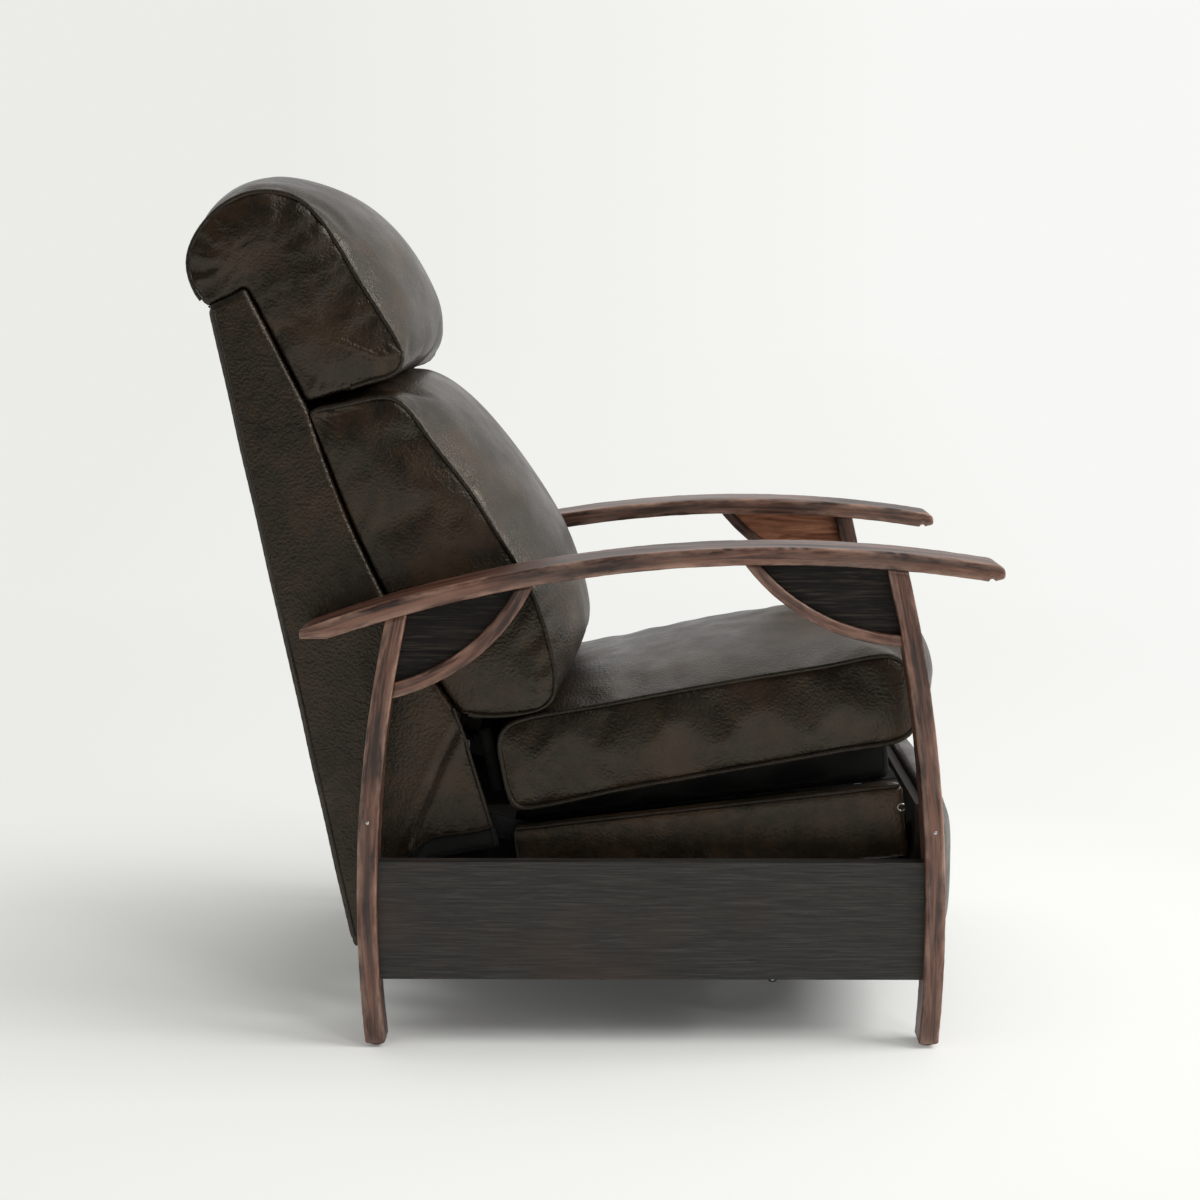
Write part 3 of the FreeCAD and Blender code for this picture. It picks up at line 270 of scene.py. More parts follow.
def makeMetal(name, dark, light, roughLow, roughHigh, metal):
    paint = Paint(name)
    place = paint.coords()
    smut = paint.noise(place, 60, 5, 0.6)
    colour = paint.ramp(smut, (0.3, dark), (0.7, light))
    return paint.finish(colour=colour, roughness=paint.grey(smut, roughLow, roughHigh, 0.3, 0.7), metal=metal,
                        normal=paint.bump(paint.noise(place, 700, 2), 0.12, 0.0003), specular=0.5)


def makeNylon():
    paint = Paint("whiteNylon")
    speck = paint.noise(paint.coords(), 300, 3)
    colour = paint.ramp(speck, (0.3, (0.52, 0.51, 0.48)), (0.7, (0.62, 0.61, 0.58)))
    return paint.finish(colour=colour, roughness=paint.grey(speck, 0.4, 0.5),
                        normal=paint.bump(speck, 0.1, 0.0003))


leather = makeLeather("oiledLeather", leatherSpec)
weltPaintedShadeLeather = makeLeather("weltPaintedShadeLeather", weltPaintedShadeSpec)
apronPaintedLightLeather = makeLeather("apronPaintedLightLeather", apronPaintedLightSpec)
staveWood = makeStaveWood(staveSpec)
boardWood = makeBoardWood("boardWood", boardSpec)
armBoardWood = makeBoardWood("armBoardWood", armBoardSpec)
railWood = makeRailWood()
liningCloth = makeCloth()
blackSteel = makeMetal("blackSteel", (0.012, 0.012, 0.013), (0.03, 0.03, 0.032), 0.38, 0.55, 0.6)
zincPlate = makeMetal("zincPlate", (0.42, 0.42, 0.41), (0.62, 0.61, 0.58), 0.26, 0.42, 1.0)
nylon = makeNylon()
glideFoot = makeMetal("redGlide", (0.10, 0.032, 0.025), (0.17, 0.055, 0.042), 0.45, 0.6, 0.0)
say("materials ready")


# mesh helpers
def newMesh(name, points, faces):
    mesh = bpy.data.meshes.new(name)
    mesh.from_pydata([tuple(p) for p in points], [], faces)
    mesh.update()
    obj = newObject(name, mesh)
    turnOut(obj)
    return obj


def evaluatedMesh(obj):
    return bpy.data.meshes.new_from_object(obj.evaluated_get(bpy.context.evaluated_depsgraph_get()))


def bake(obj, modifier):
    # the modifier's result becomes the plain mesh
    old, mesh = obj.data, evaluatedMesh(obj)
    obj.modifiers.remove(modifier)
    obj.data = mesh
    bpy.data.meshes.remove(old)
    mesh.name = obj.name


def reshape(mesh, change):
    edit = bmesh.new()
    edit.from_mesh(mesh)
    change(edit)
    edit.to_mesh(mesh)
    edit.free()


def turnOut(obj):
    reshape(obj.data, lambda edit: bmesh.ops.recalc_face_normals(edit, faces=edit.faces))


def keep(obj, key, values):
    kind, field = ("FLOAT_VECTOR", "vector") if np.ndim(values) == 2 else ("FLOAT", "value")
    layer = obj.data.attributes.new(key, kind, "POINT")
    layer.data.foreach_set(field, np.asarray(values, np.float32).ravel())


def dress(obj, material, body, slot, *stands):
    obj.data.materials.clear()
    obj.data.materials.append(material)
    obj.data.polygons.foreach_set("use_smooth", np.ones(len(obj.data.polygons), bool))
    if stands:
        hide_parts(*stands)
    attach(obj, body)
    return obj


# bent staves: a rounded section swept along an arc, cut at both ends by curves
armSpec = {"centre": (-235.0, -1119.0), "inner": 1760.0, "outer": 1783.0, "front": -530.0, "rear": 376.0,
           "xInner": 285.0, "xOuter": 380.0, "taper": 4.5, "edge": 3.2, "croze": 17.0, "crozeDepth": 4.0,
           "frontChime": 7.2, "rearChime": 12.0, "rearChimeLength": 36.0, "nose": 11.0,
           "nicks": (132, 145, 256, 274, 290, 357), "nickHalf": 4.3, "nickDepth": (9, 3),
           "frontStops": (0, 0.6, 1.6, 3.2, 5, 7.5, 10, 12.2, 13.2, 14.4, 15.7, 17, 18.3, 19.6, 20.8, 22, 26,
                          32),
           "rearStops": (40, 36, 31, 25, 19, 13, 8, 4.5, 2.2, 0.8, 0), "between": (40, 44, 100), "step": 6.0,
           "wearReach": 7.0, "seed": 3.1}
legSpec = {"rear": {"centre": (-1476.0, 183.0), "bend": 1783.0, "sign": 1},
           "front": {"centre": (1537.5, 160.0), "bend": 2000.0, "sign": -1},
           "thickness": 26.0, "xInner": 328.0, "xOuter": 376.0, "foot": 5.0, "edge": 3.0, "step": 5.0,
           "rings": (0.012, 1.0, 84), "wearReach": 8.0, "seed": 7.3}
braceSpec = {"rear": {"centre": (318.0, 730.0), "bend": 270.0, "thickness": 19.0, "sweep": (262.0, 205.0)},
             "front": {"centre": (-412.5, 806.0), "bend": 272.0, "thickness": 15.0, "sweep": (275.0, 335.0)},
             "xInner": 330.0, "xOuter": 374.0, "edge": 2.2, "step": 5.0, "rings": 46, "seed": 11.0}
staveSkin = {"wearReach": 5.0, "broad": (24, 0.35), "small": (95, 0.12), "wornSmall": 0.35}  # unevenness


def roundedSection(width, depth, edge, step):
    points, wear = [], []
    corners = [(width / 2, 0, -90), (width / 2, depth, 0), (-width / 2, depth, 90), (-width / 2, 0, 180)]
    for i, (x, d, first) in enumerate(corners):
        cx = x - math.copysign(edge, x)
        cd = edge if d == 0 else d - edge
        for k in range(5):
            angle = math.radians(first + 90 * k / 4)
            points.append((cx + edge * math.cos(angle), cd + edge * math.sin(angle)))
            wear.append(1.0 if 0 < k < 4 else 0.8)
        nx, nd, nextFirst = corners[(i + 1) % 4]
        ex = nx - math.copysign(edge, nx) + edge * math.cos(math.radians(nextFirst))
        ed = (edge if nd == 0 else nd - edge) + edge * math.sin(math.radians(nextFirst))
        sx, sd = points[-1]
        run = math.hypot(ex - sx, ed - sd)
        count = max(2, round(run / step))
        for k in range(1, count):
            points.append((sx + (ex - sx) * k / count, sd + (ed - sd) * k / count))
            inward = min(k, count - k) * run / count
            wear.append(math.exp(-(inward / staveSkin["wearReach"]) ** 2) * 0.8)
    return points, wear


def sweepStave(name, rings, section, wear, node, seed):
    # rings: functions of (x, d) that give a point, with the length along and how near an end it is
    points, grain, wearing = [], [], []
    for ring in rings:
        for (x, d), w in zip(section, wear):
            place3, along, endWear = ring(x, d)
            points.append(place3)
            grain.append((x * mm + seed, along * mm, d * mm))
            wearing.append(endWear if endWear < 0 else max(w, endWear))
    n = len(section)
    faces = []
    for r in range(len(rings) - 1):
        for k in range(n):
            a, b = r * n + k, r * n + (k + 1) % n
            faces.append((a, b, b + n, a + n))
    faces.append(tuple(range(n - 1, -1, -1)))
    faces.append(tuple((len(rings) - 1) * n + k for k in range(n)))
    (broadScale, broadSize), (smallScale, smallSize) = staveSkin["broad"], staveSkin["small"]
    shifted = []
    for p, w in zip(np.array(points) * mm, wearing):
        broad = noise.noise_vector(Vector(p) * broadScale + Vector((seed * 7, 0, 0))) * broadSize
        small = noise.noise_vector(Vector(p) * smallScale + Vector((0, seed * 5, 0)))
        shifted.append(Vector(p) + (broad + small * (smallSize + staveSkin["wornSmall"] * abs(w))) * mm)
    obj = newMesh(name, shifted, faces)
    keep(obj, "grain", np.array(grain))
    keep(obj, "wear", np.array(wearing))
    return dress(obj, staveWood, "frame", "stave_wood", node)


def buildArm(word, side):
    spec = armSpec
    cy, cz = spec["centre"]
    thick, width = spec["outer"] - spec["inner"], spec["xOuter"] - spec["xInner"]
    section, wear = roundedSection(width, thick, spec["edge"], spec["step"])
    middleX = (spec["xOuter"] + spec["xInner"]) / 2
    length = spec["rear"] - spec["front"]
    first, last, count = spec["between"]
    middleStops = np.linspace(first, length - last, count)
    run = [*spec["frontStops"], *middleStops, *(length - s for s in spec["rearStops"])]

    def ring(s):
        near = length - s
        low, high = 0.0, thick
        if s < spec["croze"]:
            low = spec["frontChime"] * (1 - s / spec["croze"])
        if abs(s - spec["croze"]) < spec["crozeDepth"]:
            low += spec["crozeDepth"] * math.sqrt(1 - ((s - spec["croze"]) / spec["crozeDepth"]) ** 2)
        if s < spec["nose"]:
            high -= (spec["nose"] - math.sqrt(spec["nose"] ** 2 - (spec["nose"] - s) ** 2)) * 0.75
        if near < spec["rearChimeLength"]:
            low = spec["rearChime"] * (1 - near / spec["rearChimeLength"])
        end = min(s, near)
        inset = spec["edge"] * (1 - math.sqrt(max(0, 1 - (1 - min(1, end / spec["edge"])) ** 2))) * 0.9
        y = spec["front"] + s
        share = (y - (spec["front"] + spec["rear"]) / 2) / (length / 2)
        narrow = spec["taper"] * share ** 2
        half = width / 2

        def point(x, d):
            wide = x * (half - narrow - inset) / half
            depth = low + inset + (d / thick) * (high - low - 2 * inset)
            radius = spec["inner"] + depth
            z = cz + math.sqrt(radius ** 2 - (y - cy) ** 2)
            nicked = (side < 0 and x > half - spec["nickDepth"][0] and d > thick - spec["nickDepth"][1]
                      and min(abs(s - k) for k in spec["nicks"]) < spec["nickHalf"])
            worn = -1.0 if nicked else math.exp(-(end / spec["wearReach"]) ** 2)
            return (side * (middleX + wide), y, z), s, worn
        return point

    rings = [ring(s) for s in run]
    return sweepStave(word + "_stave_arm", rings, section, wear, word + "_arm", spec["seed"] + side)


def solveAngle(inside, low, high):
    for _ in range(48):
        middle = (low + high) / 2
        if inside(middle):
            low = middle
        else:
            high = middle
    return (low + high) / 2


def underArm(y, z):
    cy, cz = armSpec["centre"]
    return math.hypot(y - cy, z - cz) < armSpec["inner"]


def buildLeg(word, side, end):
    spec = legSpec[end]
    cy, cz = spec["centre"]
    sign, bend, thick = spec["sign"], spec["bend"], legSpec["thickness"]
    width = legSpec["xOuter"] - legSpec["xInner"]
    edge = legSpec["edge"]
    section, wear = roundedSection(width, thick, edge, legSpec["step"])
    middleX = (legSpec["xOuter"] + legSpec["xInner"]) / 2

    def at(radius, angle):
        return cy + sign * radius * math.cos(angle), cz + radius * math.sin(angle)

    limits = {}
    for _, d in section:
        radius = bend - thick + d
        low = math.asin((legSpec["foot"] - cz) / radius)
        high = solveAngle(lambda a: underArm(*at(radius, a)), 0.0, 0.5)
        limits[d] = (radius, low, high)
    run = [(0.0, 1.0), (edge * 0.35, 0.45), (edge, 0.0)]  # rounded foot
    shares = np.linspace(*legSpec["rings"])

    def ring(kind, value, inset):
        def point(x, d):
            radius, low, high = limits[d]
            arc = (high - low) * radius
            s = value if kind == "mm" else value * arc
            angle = low + s / radius
            depth = inset + (d / thick) * (thick - 2 * inset)
            y, z = at(bend - thick + depth, angle)
            wide = x * (width / 2 - inset) / (width / 2)
            worn = math.exp(-(s / legSpec["wearReach"]) ** 2) * 0.9
            return (side * (middleX + wide), y, z), s, worn
        return point

    rings = [ring("mm", s, inset * edge) for s, inset in run] + [ring("share", u, 0.0) for u in shares]
    return sweepStave(f"{word}_{end}_stave_leg", rings, section, wear, f"{word}_{end}_leg",
                      legSpec["seed"] + side * 1.7 + sign * 0.9)


def buildBrace(word, side, end):
    spec = braceSpec[end]
    cy, cz = spec["centre"]
    thick, bend = spec["thickness"], spec["bend"]
    width = braceSpec["xOuter"] - braceSpec["xInner"]
    section, wear = roundedSection(width, thick, braceSpec["edge"], braceSpec["step"])
    middleX = (braceSpec["xOuter"] + braceSpec["xInner"]) / 2
    leg = legSpec[end]
    legInner = leg["bend"] - legSpec["thickness"]

    def at(radius, degrees):
        a = math.radians(degrees)
        return cy + radius * math.cos(a), cz + radius * math.sin(a)

    def insideLeg(y, z):
        return math.hypot(y - leg["centre"][0], z - leg["centre"][1]) < legInner

    first, last = spec["sweep"]
    middle = (first + last) / 2
    limits = {}
    for _, d in section:
        radius = bend - thick + d
        toLeg = solveAngle(lambda a: insideLeg(*at(radius, a)), middle, first + (first - middle))
        toArm = solveAngle(lambda a: underArm(*at(radius, a)), middle, last + (last - middle))
        limits[d] = (radius, toLeg, toArm)

    def ring(u):
        def point(x, d):
            radius, low, high = limits[d]
            angle = low + (high - low) * u
            y, z = at(radius, angle)
            return (side * (middleX + x), y, z), u * math.radians(abs(high - low)) * radius, 0.0
        return point

    rings = [ring(u) for u in np.linspace(0, 1, braceSpec["rings"])]
    return sweepStave(f"{word}_{end}_stave_brace", rings, section, wear, f"{word}_{end}_brace",
                      braceSpec["seed"] + side * 2.3 + (1 if end == "rear" else 0))


for word, side in sides.items():
    buildArm(word, side)
    for end in ("front", "rear"):
        buildLeg(word, side, end)
        buildBrace(word, side, end)
say("staves ready")


# the back's and the seat's own directions
backFrame = {"lean": 11.6, "rear": 302.8}
seatFrame = {"lean": 10.3, "origin": (105.5, 298.7)}


def fromBack(depth, height):
    c, s = math.cos(math.radians(backFrame["lean"])), math.sin(math.radians(backFrame["lean"]))
    return backFrame["rear"] + s * height - c * depth, c * height + s * depth


def toBack(y, z):
    c, s = math.cos(math.radians(backFrame["lean"])), math.sin(math.radians(backFrame["lean"]))
    a = y - backFrame["rear"]
    return s * z - c * a, c * z + s * a


def fromSeat(u, w):
    c, s = math.cos(math.radians(seatFrame["lean"])), math.sin(math.radians(seatFrame["lean"]))
    oy, oz = seatFrame["origin"]
    return oy + u * c + w * s, oz - u * s + w * c


def smoothLoop(keys, counts, sharp=()):
    keys = np.array(keys, float)
    n = len(keys)
    out = []
    for i in range(n):
        p0, p1, p2, p3 = (keys[(i + k) % n] for k in (-1, 0, 1, 2))
        if i in sharp:
            p0 = 2 * p1 - p2
        if (i + 1) % n in sharp:
            p3 = 2 * p2 - p1
        t1 = max(np.linalg.norm(p1 - p0), 1e-6) ** 0.5
        t2 = t1 + max(np.linalg.norm(p2 - p1), 1e-6) ** 0.5
        t3 = t2 + max(np.linalg.norm(p3 - p2), 1e-6) ** 0.5
        for k in range(counts[i]):
            t = t1 + (t2 - t1) * k / counts[i]
            a1 = (t1 - t) / t1 * p0 + t / t1 * p1
            a2 = (t2 - t) / (t2 - t1) * p1 + (t - t1) / (t2 - t1) * p2
            a3 = (t3 - t) / (t3 - t2) * p2 + (t - t2) / (t3 - t2) * p3
            b1 = (t2 - t) / t2 * a1 + t / t2 * a2
            b2 = (t3 - t) / (t3 - t1) * a2 + (t - t1) / (t3 - t1) * a3
            out.append((t2 - t) / (t2 - t1) * b1 + (t - t1) / (t2 - t1) * b2)
    return np.array(out)


# cushions: outlines at the side seam (edge) and at the middle, in the back's or the seat's directions
headSpec = {
    "edge": [(222, 853), (236, 869), (235, 889), (220, 932), (200, 985), (183, 1035), (165, 1076), (140, 1105),
             (105, 1118), (76, 1119), (43, 1109), (6, 1081), (-13, 1049), (-13, 1018), (-3, 987), (14, 990),
             (54, 1003), (75, 930), (99, 840), (150, 846), (190, 851)],
    "middle": [(252, 862), (265, 872), (273, 909), (271, 961), (257, 1017), (227, 1070), (185, 1111),
               (131, 1139), (96, 1150), (62, 1152), (28, 1143), (-4, 1112), (-16, 1066), (-15, 1024),
               (-4, 987), (14, 990), (54, 1003), (75, 930), (99, 838), (158, 844), (215, 850)],
    "sharp": (14, 15, 16, 18), "held": range(14, 19), "half": 272, "swell": 7, "place": fromBack,
    "body": "back", "start": 0.82, "cap": 12, "tucked": True, "node": "head_cushion"}
lumbarSpec = {
    "edge": [(99, 829), (140, 827), (186, 828), (210, 826), (226, 809), (254, 748), (286, 683), (309, 620),
             (326, 576), (337, 538), (343, 498), (346, 453), (344, 412), (334, 387), (317, 378), (290, 378),
             (251, 382), (210, 394), (190, 444), (146, 573), (122, 678), (108, 764)],
    "middle": [(99, 832), (150, 841), (212, 848), (240, 847), (260, 836), (299, 796), (335, 734), (363, 675),
               (380, 630), (392, 590), (400, 540), (401, 484), (391, 436), (371, 406), (346, 395), (300, 392),
               (255, 392), (210, 394), (190, 444), (146, 573), (122, 678), (108, 764)],
    "sharp": (0, 17), "held": (17, 18, 19, 20, 21), "half": 272, "swell": 6, "place": fromBack,
    "body": "back", "start": 0.8, "cap": 13, "tucked": True, "node": "lumbar_cushion"}
seatSpec = {
    "edge": [(-2, 2), (-150, 1), (-300, 1), (-450, 1), (-530, 2), (-550, 18), (-555, 58), (-551, 98),
             (-534, 115), (-440, 117), (-309, 119), (-150, 118), (-14, 114), (1, 100), (4, 58), (2, 14)],
    "middle": [(-2, 2), (-150, 1), (-300, 1), (-450, 1), (-556, 5), (-602, 26), (-615, 62), (-607, 100),
               (-562, 128), (-450, 139), (-316, 145), (-150, 135), (-14, 118), (3, 102), (8, 58), (4, 16)],
    "sharp": (), "held": (0, 1, 2, 3), "half": 275, "swell": 6, "place": fromSeat, "body": "seat",
    "start": 0.85, "cap": 9, "node": "seat_cushion"}
padSpec = {
    "edge": [(-443, 107), (-443, 215), (-443, 323), (-453, 323), (-460, 312), (-464, 260), (-464, 215),
             (-464, 170), (-460, 118), (-453, 107)],
    "middle": [(-443, 106), (-443, 215), (-443, 324), (-470, 323), (-490, 303), (-500, 260), (-502, 215),
               (-500, 170), (-490, 127), (-470, 107)],
    "sharp": (0, 2), "held": (0, 1, 2), "half": 314, "swell": 5, "place": lambda y, z: (y, z),
    "body": "footrest", "start": 0.85, "cap": 8, "node": "footrest_pad"}


def softForm(name, spec, step=12.0):
    keysE, keysM = np.array(spec["edge"], float), np.array(spec["middle"], float)
    n = len(keysE)
    counts = []
    for i in range(n):
        j = (i + 1) % n
        run = (np.linalg.norm(keysE[j] - keysE[i]) + np.linalg.norm(keysM[j] - keysM[i])) / 2
        counts.append(max(1, round(run / step)))
    counts[int(np.argmax(counts))] += sum(counts) % 2
    edge, middle = smoothLoop(keysE, counts, spec["sharp"]), smoothLoop(keysM, counts, spec["sharp"])
    starts = np.concatenate(([0], np.cumsum(counts)))
    loop = len(edge)
    held = np.zeros(loop, bool)
    for i in spec["held"]:
        held[starts[i]:starts[i + 1] + 1 if starts[i + 1] < loop else loop] = True
    half = spec["half"]
    stations = np.linspace(-1, 1, 2 * round(half / step) + 1)
    points, kinds = [], []          # kind: 0 free, 1 seam, 2 resting
    grid = []                       # (share across, place round the loop, distance to the side seam)
    for s in stations:
        full = (1 - abs(s) ** 2.3) * spec["start"]
        ring = edge + (middle - edge) * full
        for k, (a, b) in enumerate(ring):
            y, z = spec["place"](a, b)
            points.append((s * half, y, z))
            seam = abs(abs(s) - 1) < 1e-9
            kinds.append(1 if seam else 2 if held[k] else 0)
            grid.append((s, k * step, half * (1 - abs(s))))
    faces = []
    rows = len(stations)
    for r in range(rows - 1):
        for k in range(loop):
            a, b = r * loop + k, r * loop + (k + 1) % loop
            faces.append((a, b, b + loop, a + loop))
    apart = np.linalg.norm(edge[:, None] - np.roll(edge, -loop // 2, 0)[None], axis=2).diagonal()
    first = int(np.argmax(apart))
    pairs = [((first + k) % loop, (first - k) % loop) for k in range(1, loop // 2)]
    columns = max(4, round(max(np.linalg.norm(edge[i] - edge[j]) for i, j in pairs) / step))
    for s, base in ((-1, 0), (1, (rows - 1) * loop)):
        strips = []
        for i, j in pairs:
            strip = [base + i]
            for c in range(1, columns):
                a, b = edge[i] + (edge[j] - edge[i]) * c / columns
                gaps = np.linalg.norm(edge - (a, b), axis=1)
                inward = gaps.min()
                dome = spec["swell"] * (1 - (1 - min(1, inward / 55)) ** 2)
                y, z = spec["place"](a, b)
                strip.append(len(points))
                points.append((s * (half + dome), y, z))
                kinds.append(0)
                grid.append((s, int(gaps.argmin()) * step, -inward))
            strips.append(strip + [base + j])
        for low, high in zip(strips, strips[1:]):
            for c in range(columns):
                faces.append((low[c], low[c + 1], high[c + 1], high[c]))
        for pole, strip in ((first, strips[0]), ((first + loop // 2) % loop, strips[-1])):
            for c in range(columns):
                faces.append((base + pole, strip[c], strip[c + 1]))
    obj = newMesh(name, np.array(points) * mm, faces)
    return obj, np.array(kinds), np.array(grid, float), loop, rows, held


clothSpec = {"pressure": 4.0, "frames": 12, "slack": -0.010, "bend": 6.0, "tension": 30.0, "mass": 0.4,
             "quality": 3}


def inflate(obj, pins, spec, most):
    rest = np.array([v.co for v in obj.data.vertices])
    group = obj.vertex_groups.new(name="pins")
    for i, weight in enumerate(pins):
        if weight > 0:
            group.add([i], float(weight), "REPLACE")
    cloth = obj.modifiers.new("fill", "CLOTH")
    settings = cloth.settings
    settings.quality = spec["quality"]
    settings.mass = spec["mass"]
    settings.tension_stiffness = settings.compression_stiffness = spec["tension"]
    settings.shear_stiffness = spec["tension"] * 0.6
    settings.bending_stiffness = spec["bend"]
    settings.use_pressure = True
    settings.uniform_pressure_force = spec["pressure"]
    settings.shrink_min = spec["slack"]
    settings.vertex_group_mass = "pins"
    settings.pin_stiffness = 1.0
    settings.effector_weights.gravity = 0
    cloth.point_cache.frame_start = 1
    cloth.point_cache.frame_end = spec["frames"]
    for step in range(1, spec["frames"] + 1):
        scene.frame_set(step)
    evaluated = obj.evaluated_get(bpy.context.evaluated_depsgraph_get())
    moved = np.array([v.co for v in evaluated.data.vertices])
    obj.modifiers.remove(cloth)
    obj.vertex_groups.clear()
    scene.frame_set(1)
    shift = moved - rest
    length = np.linalg.norm(shift, axis=1, keepdims=True)
    cap = most * mm
    shift *= np.minimum(1, cap / np.maximum(length, 1e-9))
    obj.data.vertices.foreach_set("co", (rest + shift).astype(np.float32).ravel())
    obj.data.update()
    return float(length.max() / mm)


def wave(value, seed):
    return noise.noise(Vector((value, seed, 0.37 * seed)))


def readGrid(obj):
    out = []
    for key in ("across", "along", "away"):
        values = np.zeros(len(obj.data.vertices), np.float32)
        obj.data.attributes[key].data.foreach_get("value", values)
        out.append(values)
    return np.array(out).T


def shiftAlongNormals(obj, push):
    normals = np.zeros(len(push) * 3, np.float32)
    places = np.zeros(len(push) * 3, np.float32)
    obj.data.vertex_normals.foreach_get("vector", normals)
    obj.data.vertices.foreach_get("co", places)
    places += normals * np.repeat(push * mm, 3).astype(np.float32)
    obj.data.vertices.foreach_set("co", places)
    obj.data.update()


def pucker(obj, amount, reach, pitch, seed, where=0):
    # gathers that run in from the side seams
    push = np.zeros(len(obj.data.vertices))
    for i, (s, along, away) in enumerate(readGrid(obj)):
        d = abs(away)
        if where * away < 0 or d > 3 * reach:
            continue
        near = math.exp(-(d / reach) ** 1.5) * min(1, d / 6.0)
        turn = along / pitch
        push[i] = amount * near * (wave(turn, seed + s) + 0.6 * wave(turn * 2.1, seed + 5 + s))
    shiftAlongNormals(obj, push)


# welts: a tube along a seam, made by one node tree
def weltTree():
    tree = bpy.data.node_groups.new("weltTree", "GeometryNodeTree")
    tree.interface.new_socket("Geometry", in_out="INPUT", socket_type="NodeSocketGeometry")
    radius = tree.interface.new_socket("Radius", in_out="INPUT", socket_type="NodeSocketFloat")
    finish = tree.interface.new_socket("Finish", in_out="INPUT", socket_type="NodeSocketMaterial")
    tree.interface.new_socket("Geometry", in_out="OUTPUT", socket_type="NodeSocketGeometry")
    start, end = tree.nodes.new("NodeGroupInput"), tree.nodes.new("NodeGroupOutput")
    ring = tree.nodes.new("GeometryNodeCurvePrimitiveCircle")
    ring.inputs["Resolution"].default_value = 8
    tube = tree.nodes.new("GeometryNodeCurveToMesh")
    real = tree.nodes.new("GeometryNodeRealizeInstances")
    paint = tree.nodes.new("GeometryNodeSetMaterial")
    link = tree.links.new
    link(start.outputs["Radius"], ring.inputs["Radius"])
    link(start.outputs["Geometry"], tube.inputs["Curve"])
    link(ring.outputs["Curve"], tube.inputs["Profile Curve"])
    tube.inputs["Fill Caps"].default_value = True
    link(tube.outputs["Mesh"], real.inputs["Geometry"])
    link(real.outputs["Geometry"], paint.inputs["Geometry"])
    link(start.outputs["Finish"], paint.inputs["Material"])
    link(paint.outputs["Geometry"], end.inputs["Geometry"])
    return tree, radius.identifier, finish.identifier


weltNodes, weltRadius, weltFinish = weltTree()


# welts default to the darker leather copy, painted shade for their grooves
def welt(name, paths, radius, body, material=weltPaintedShadeLeather, slot="leather", closed=True):
    curve = bpy.data.curves.new(name, "CURVE")
    curve.dimensions = "3D"
    for path in paths:
        spline = curve.splines.new("POLY")
        spline.points.add(len(path) - 1)
        for point, p in zip(spline.points, path):
            point.co = (*p, 1)
        spline.use_cyclic_u = closed
    source = newObject(name + "_path", curve)
    modifier = source.modifiers.new("welt", "NODES")
    modifier.node_group = weltNodes
    modifier[weltRadius] = radius * mm
    modifier[weltFinish] = material
    mesh = evaluatedMesh(source)
    source.modifiers.remove(modifier)
    bpy.data.objects.remove(source)
    mesh.name = name
    obj = newObject(name, mesh)
    turnOut(obj)
    return dress(obj, material, body, slot)


def smoothPath(points):
    for _ in range(2):
        points = (np.roll(points, 1, 0) + 2 * points + np.roll(points, -1, 0)) / 4
    return points


def buildCushion(name, spec, gathers, weltSize=3.6):
    obj, kinds, grid, loop, rows, held = softForm(name, spec)
    moved = inflate(obj, np.where(kinds > 0, 1.0, 0.0), clothSpec, spec["cap"])
    say(f"{name} swelled up to {moved:.1f} mm")
    points = np.array([v.co for v in obj.data.vertices])
    paths = [smoothPath(points[:loop]), smoothPath(points[(rows - 1) * loop:rows * loop])]
    if spec.get("tucked"):
        after = max(k for k in range(loop) if held[k]) + 1
        order = [k % loop for k in range(after, after + loop) if not held[k % loop]]
        paths = [path[order] for path in paths]
    for key, values in zip(("across", "along", "away"), grid.T):
        keep(obj, key, values)
    modifier = obj.modifiers.new("smooth", "SUBSURF")
    modifier.levels = modifier.render_levels = 1
    bake(obj, modifier)
    for gather in gathers:
        pucker(obj, **gather)
    dress(obj, leather, spec["body"], "leather", spec["node"])
    welt(name + "_welts", paths, weltSize, spec["body"], closed=not spec.get("tucked"))
    return obj


buildCushion("head_cushion_leather", headSpec, [
    {"amount": 3.4, "reach": 40.0, "pitch": 30.0, "seed": 4.0, "where": 1},
    {"amount": 4.6, "reach": 62.0, "pitch": 27.0, "seed": 6.0, "where": -1}])
buildCushion("lumbar_cushion_leather", lumbarSpec, [
    {"amount": 3.2, "reach": 38.0, "pitch": 36.0, "seed": 8.0, "where": 1},
    {"amount": 2.4, "reach": 55.0, "pitch": 48.0, "seed": 9.0, "where": -1}])
buildCushion("seat_cushion_leather", seatSpec, [
    {"amount": 1.6, "reach": 34.0, "pitch": 40.0, "seed": 12.0, "where": 1},
    {"amount": 0.8, "reach": 30.0, "pitch": 42.0, "seed": 13.0, "where": -1}])
buildCushion("footrest_pad_leather", padSpec, [
    {"amount": 1.4, "reach": 30.0, "pitch": 36.0, "seed": 16.0}], 3.0)
say("cushions ready")


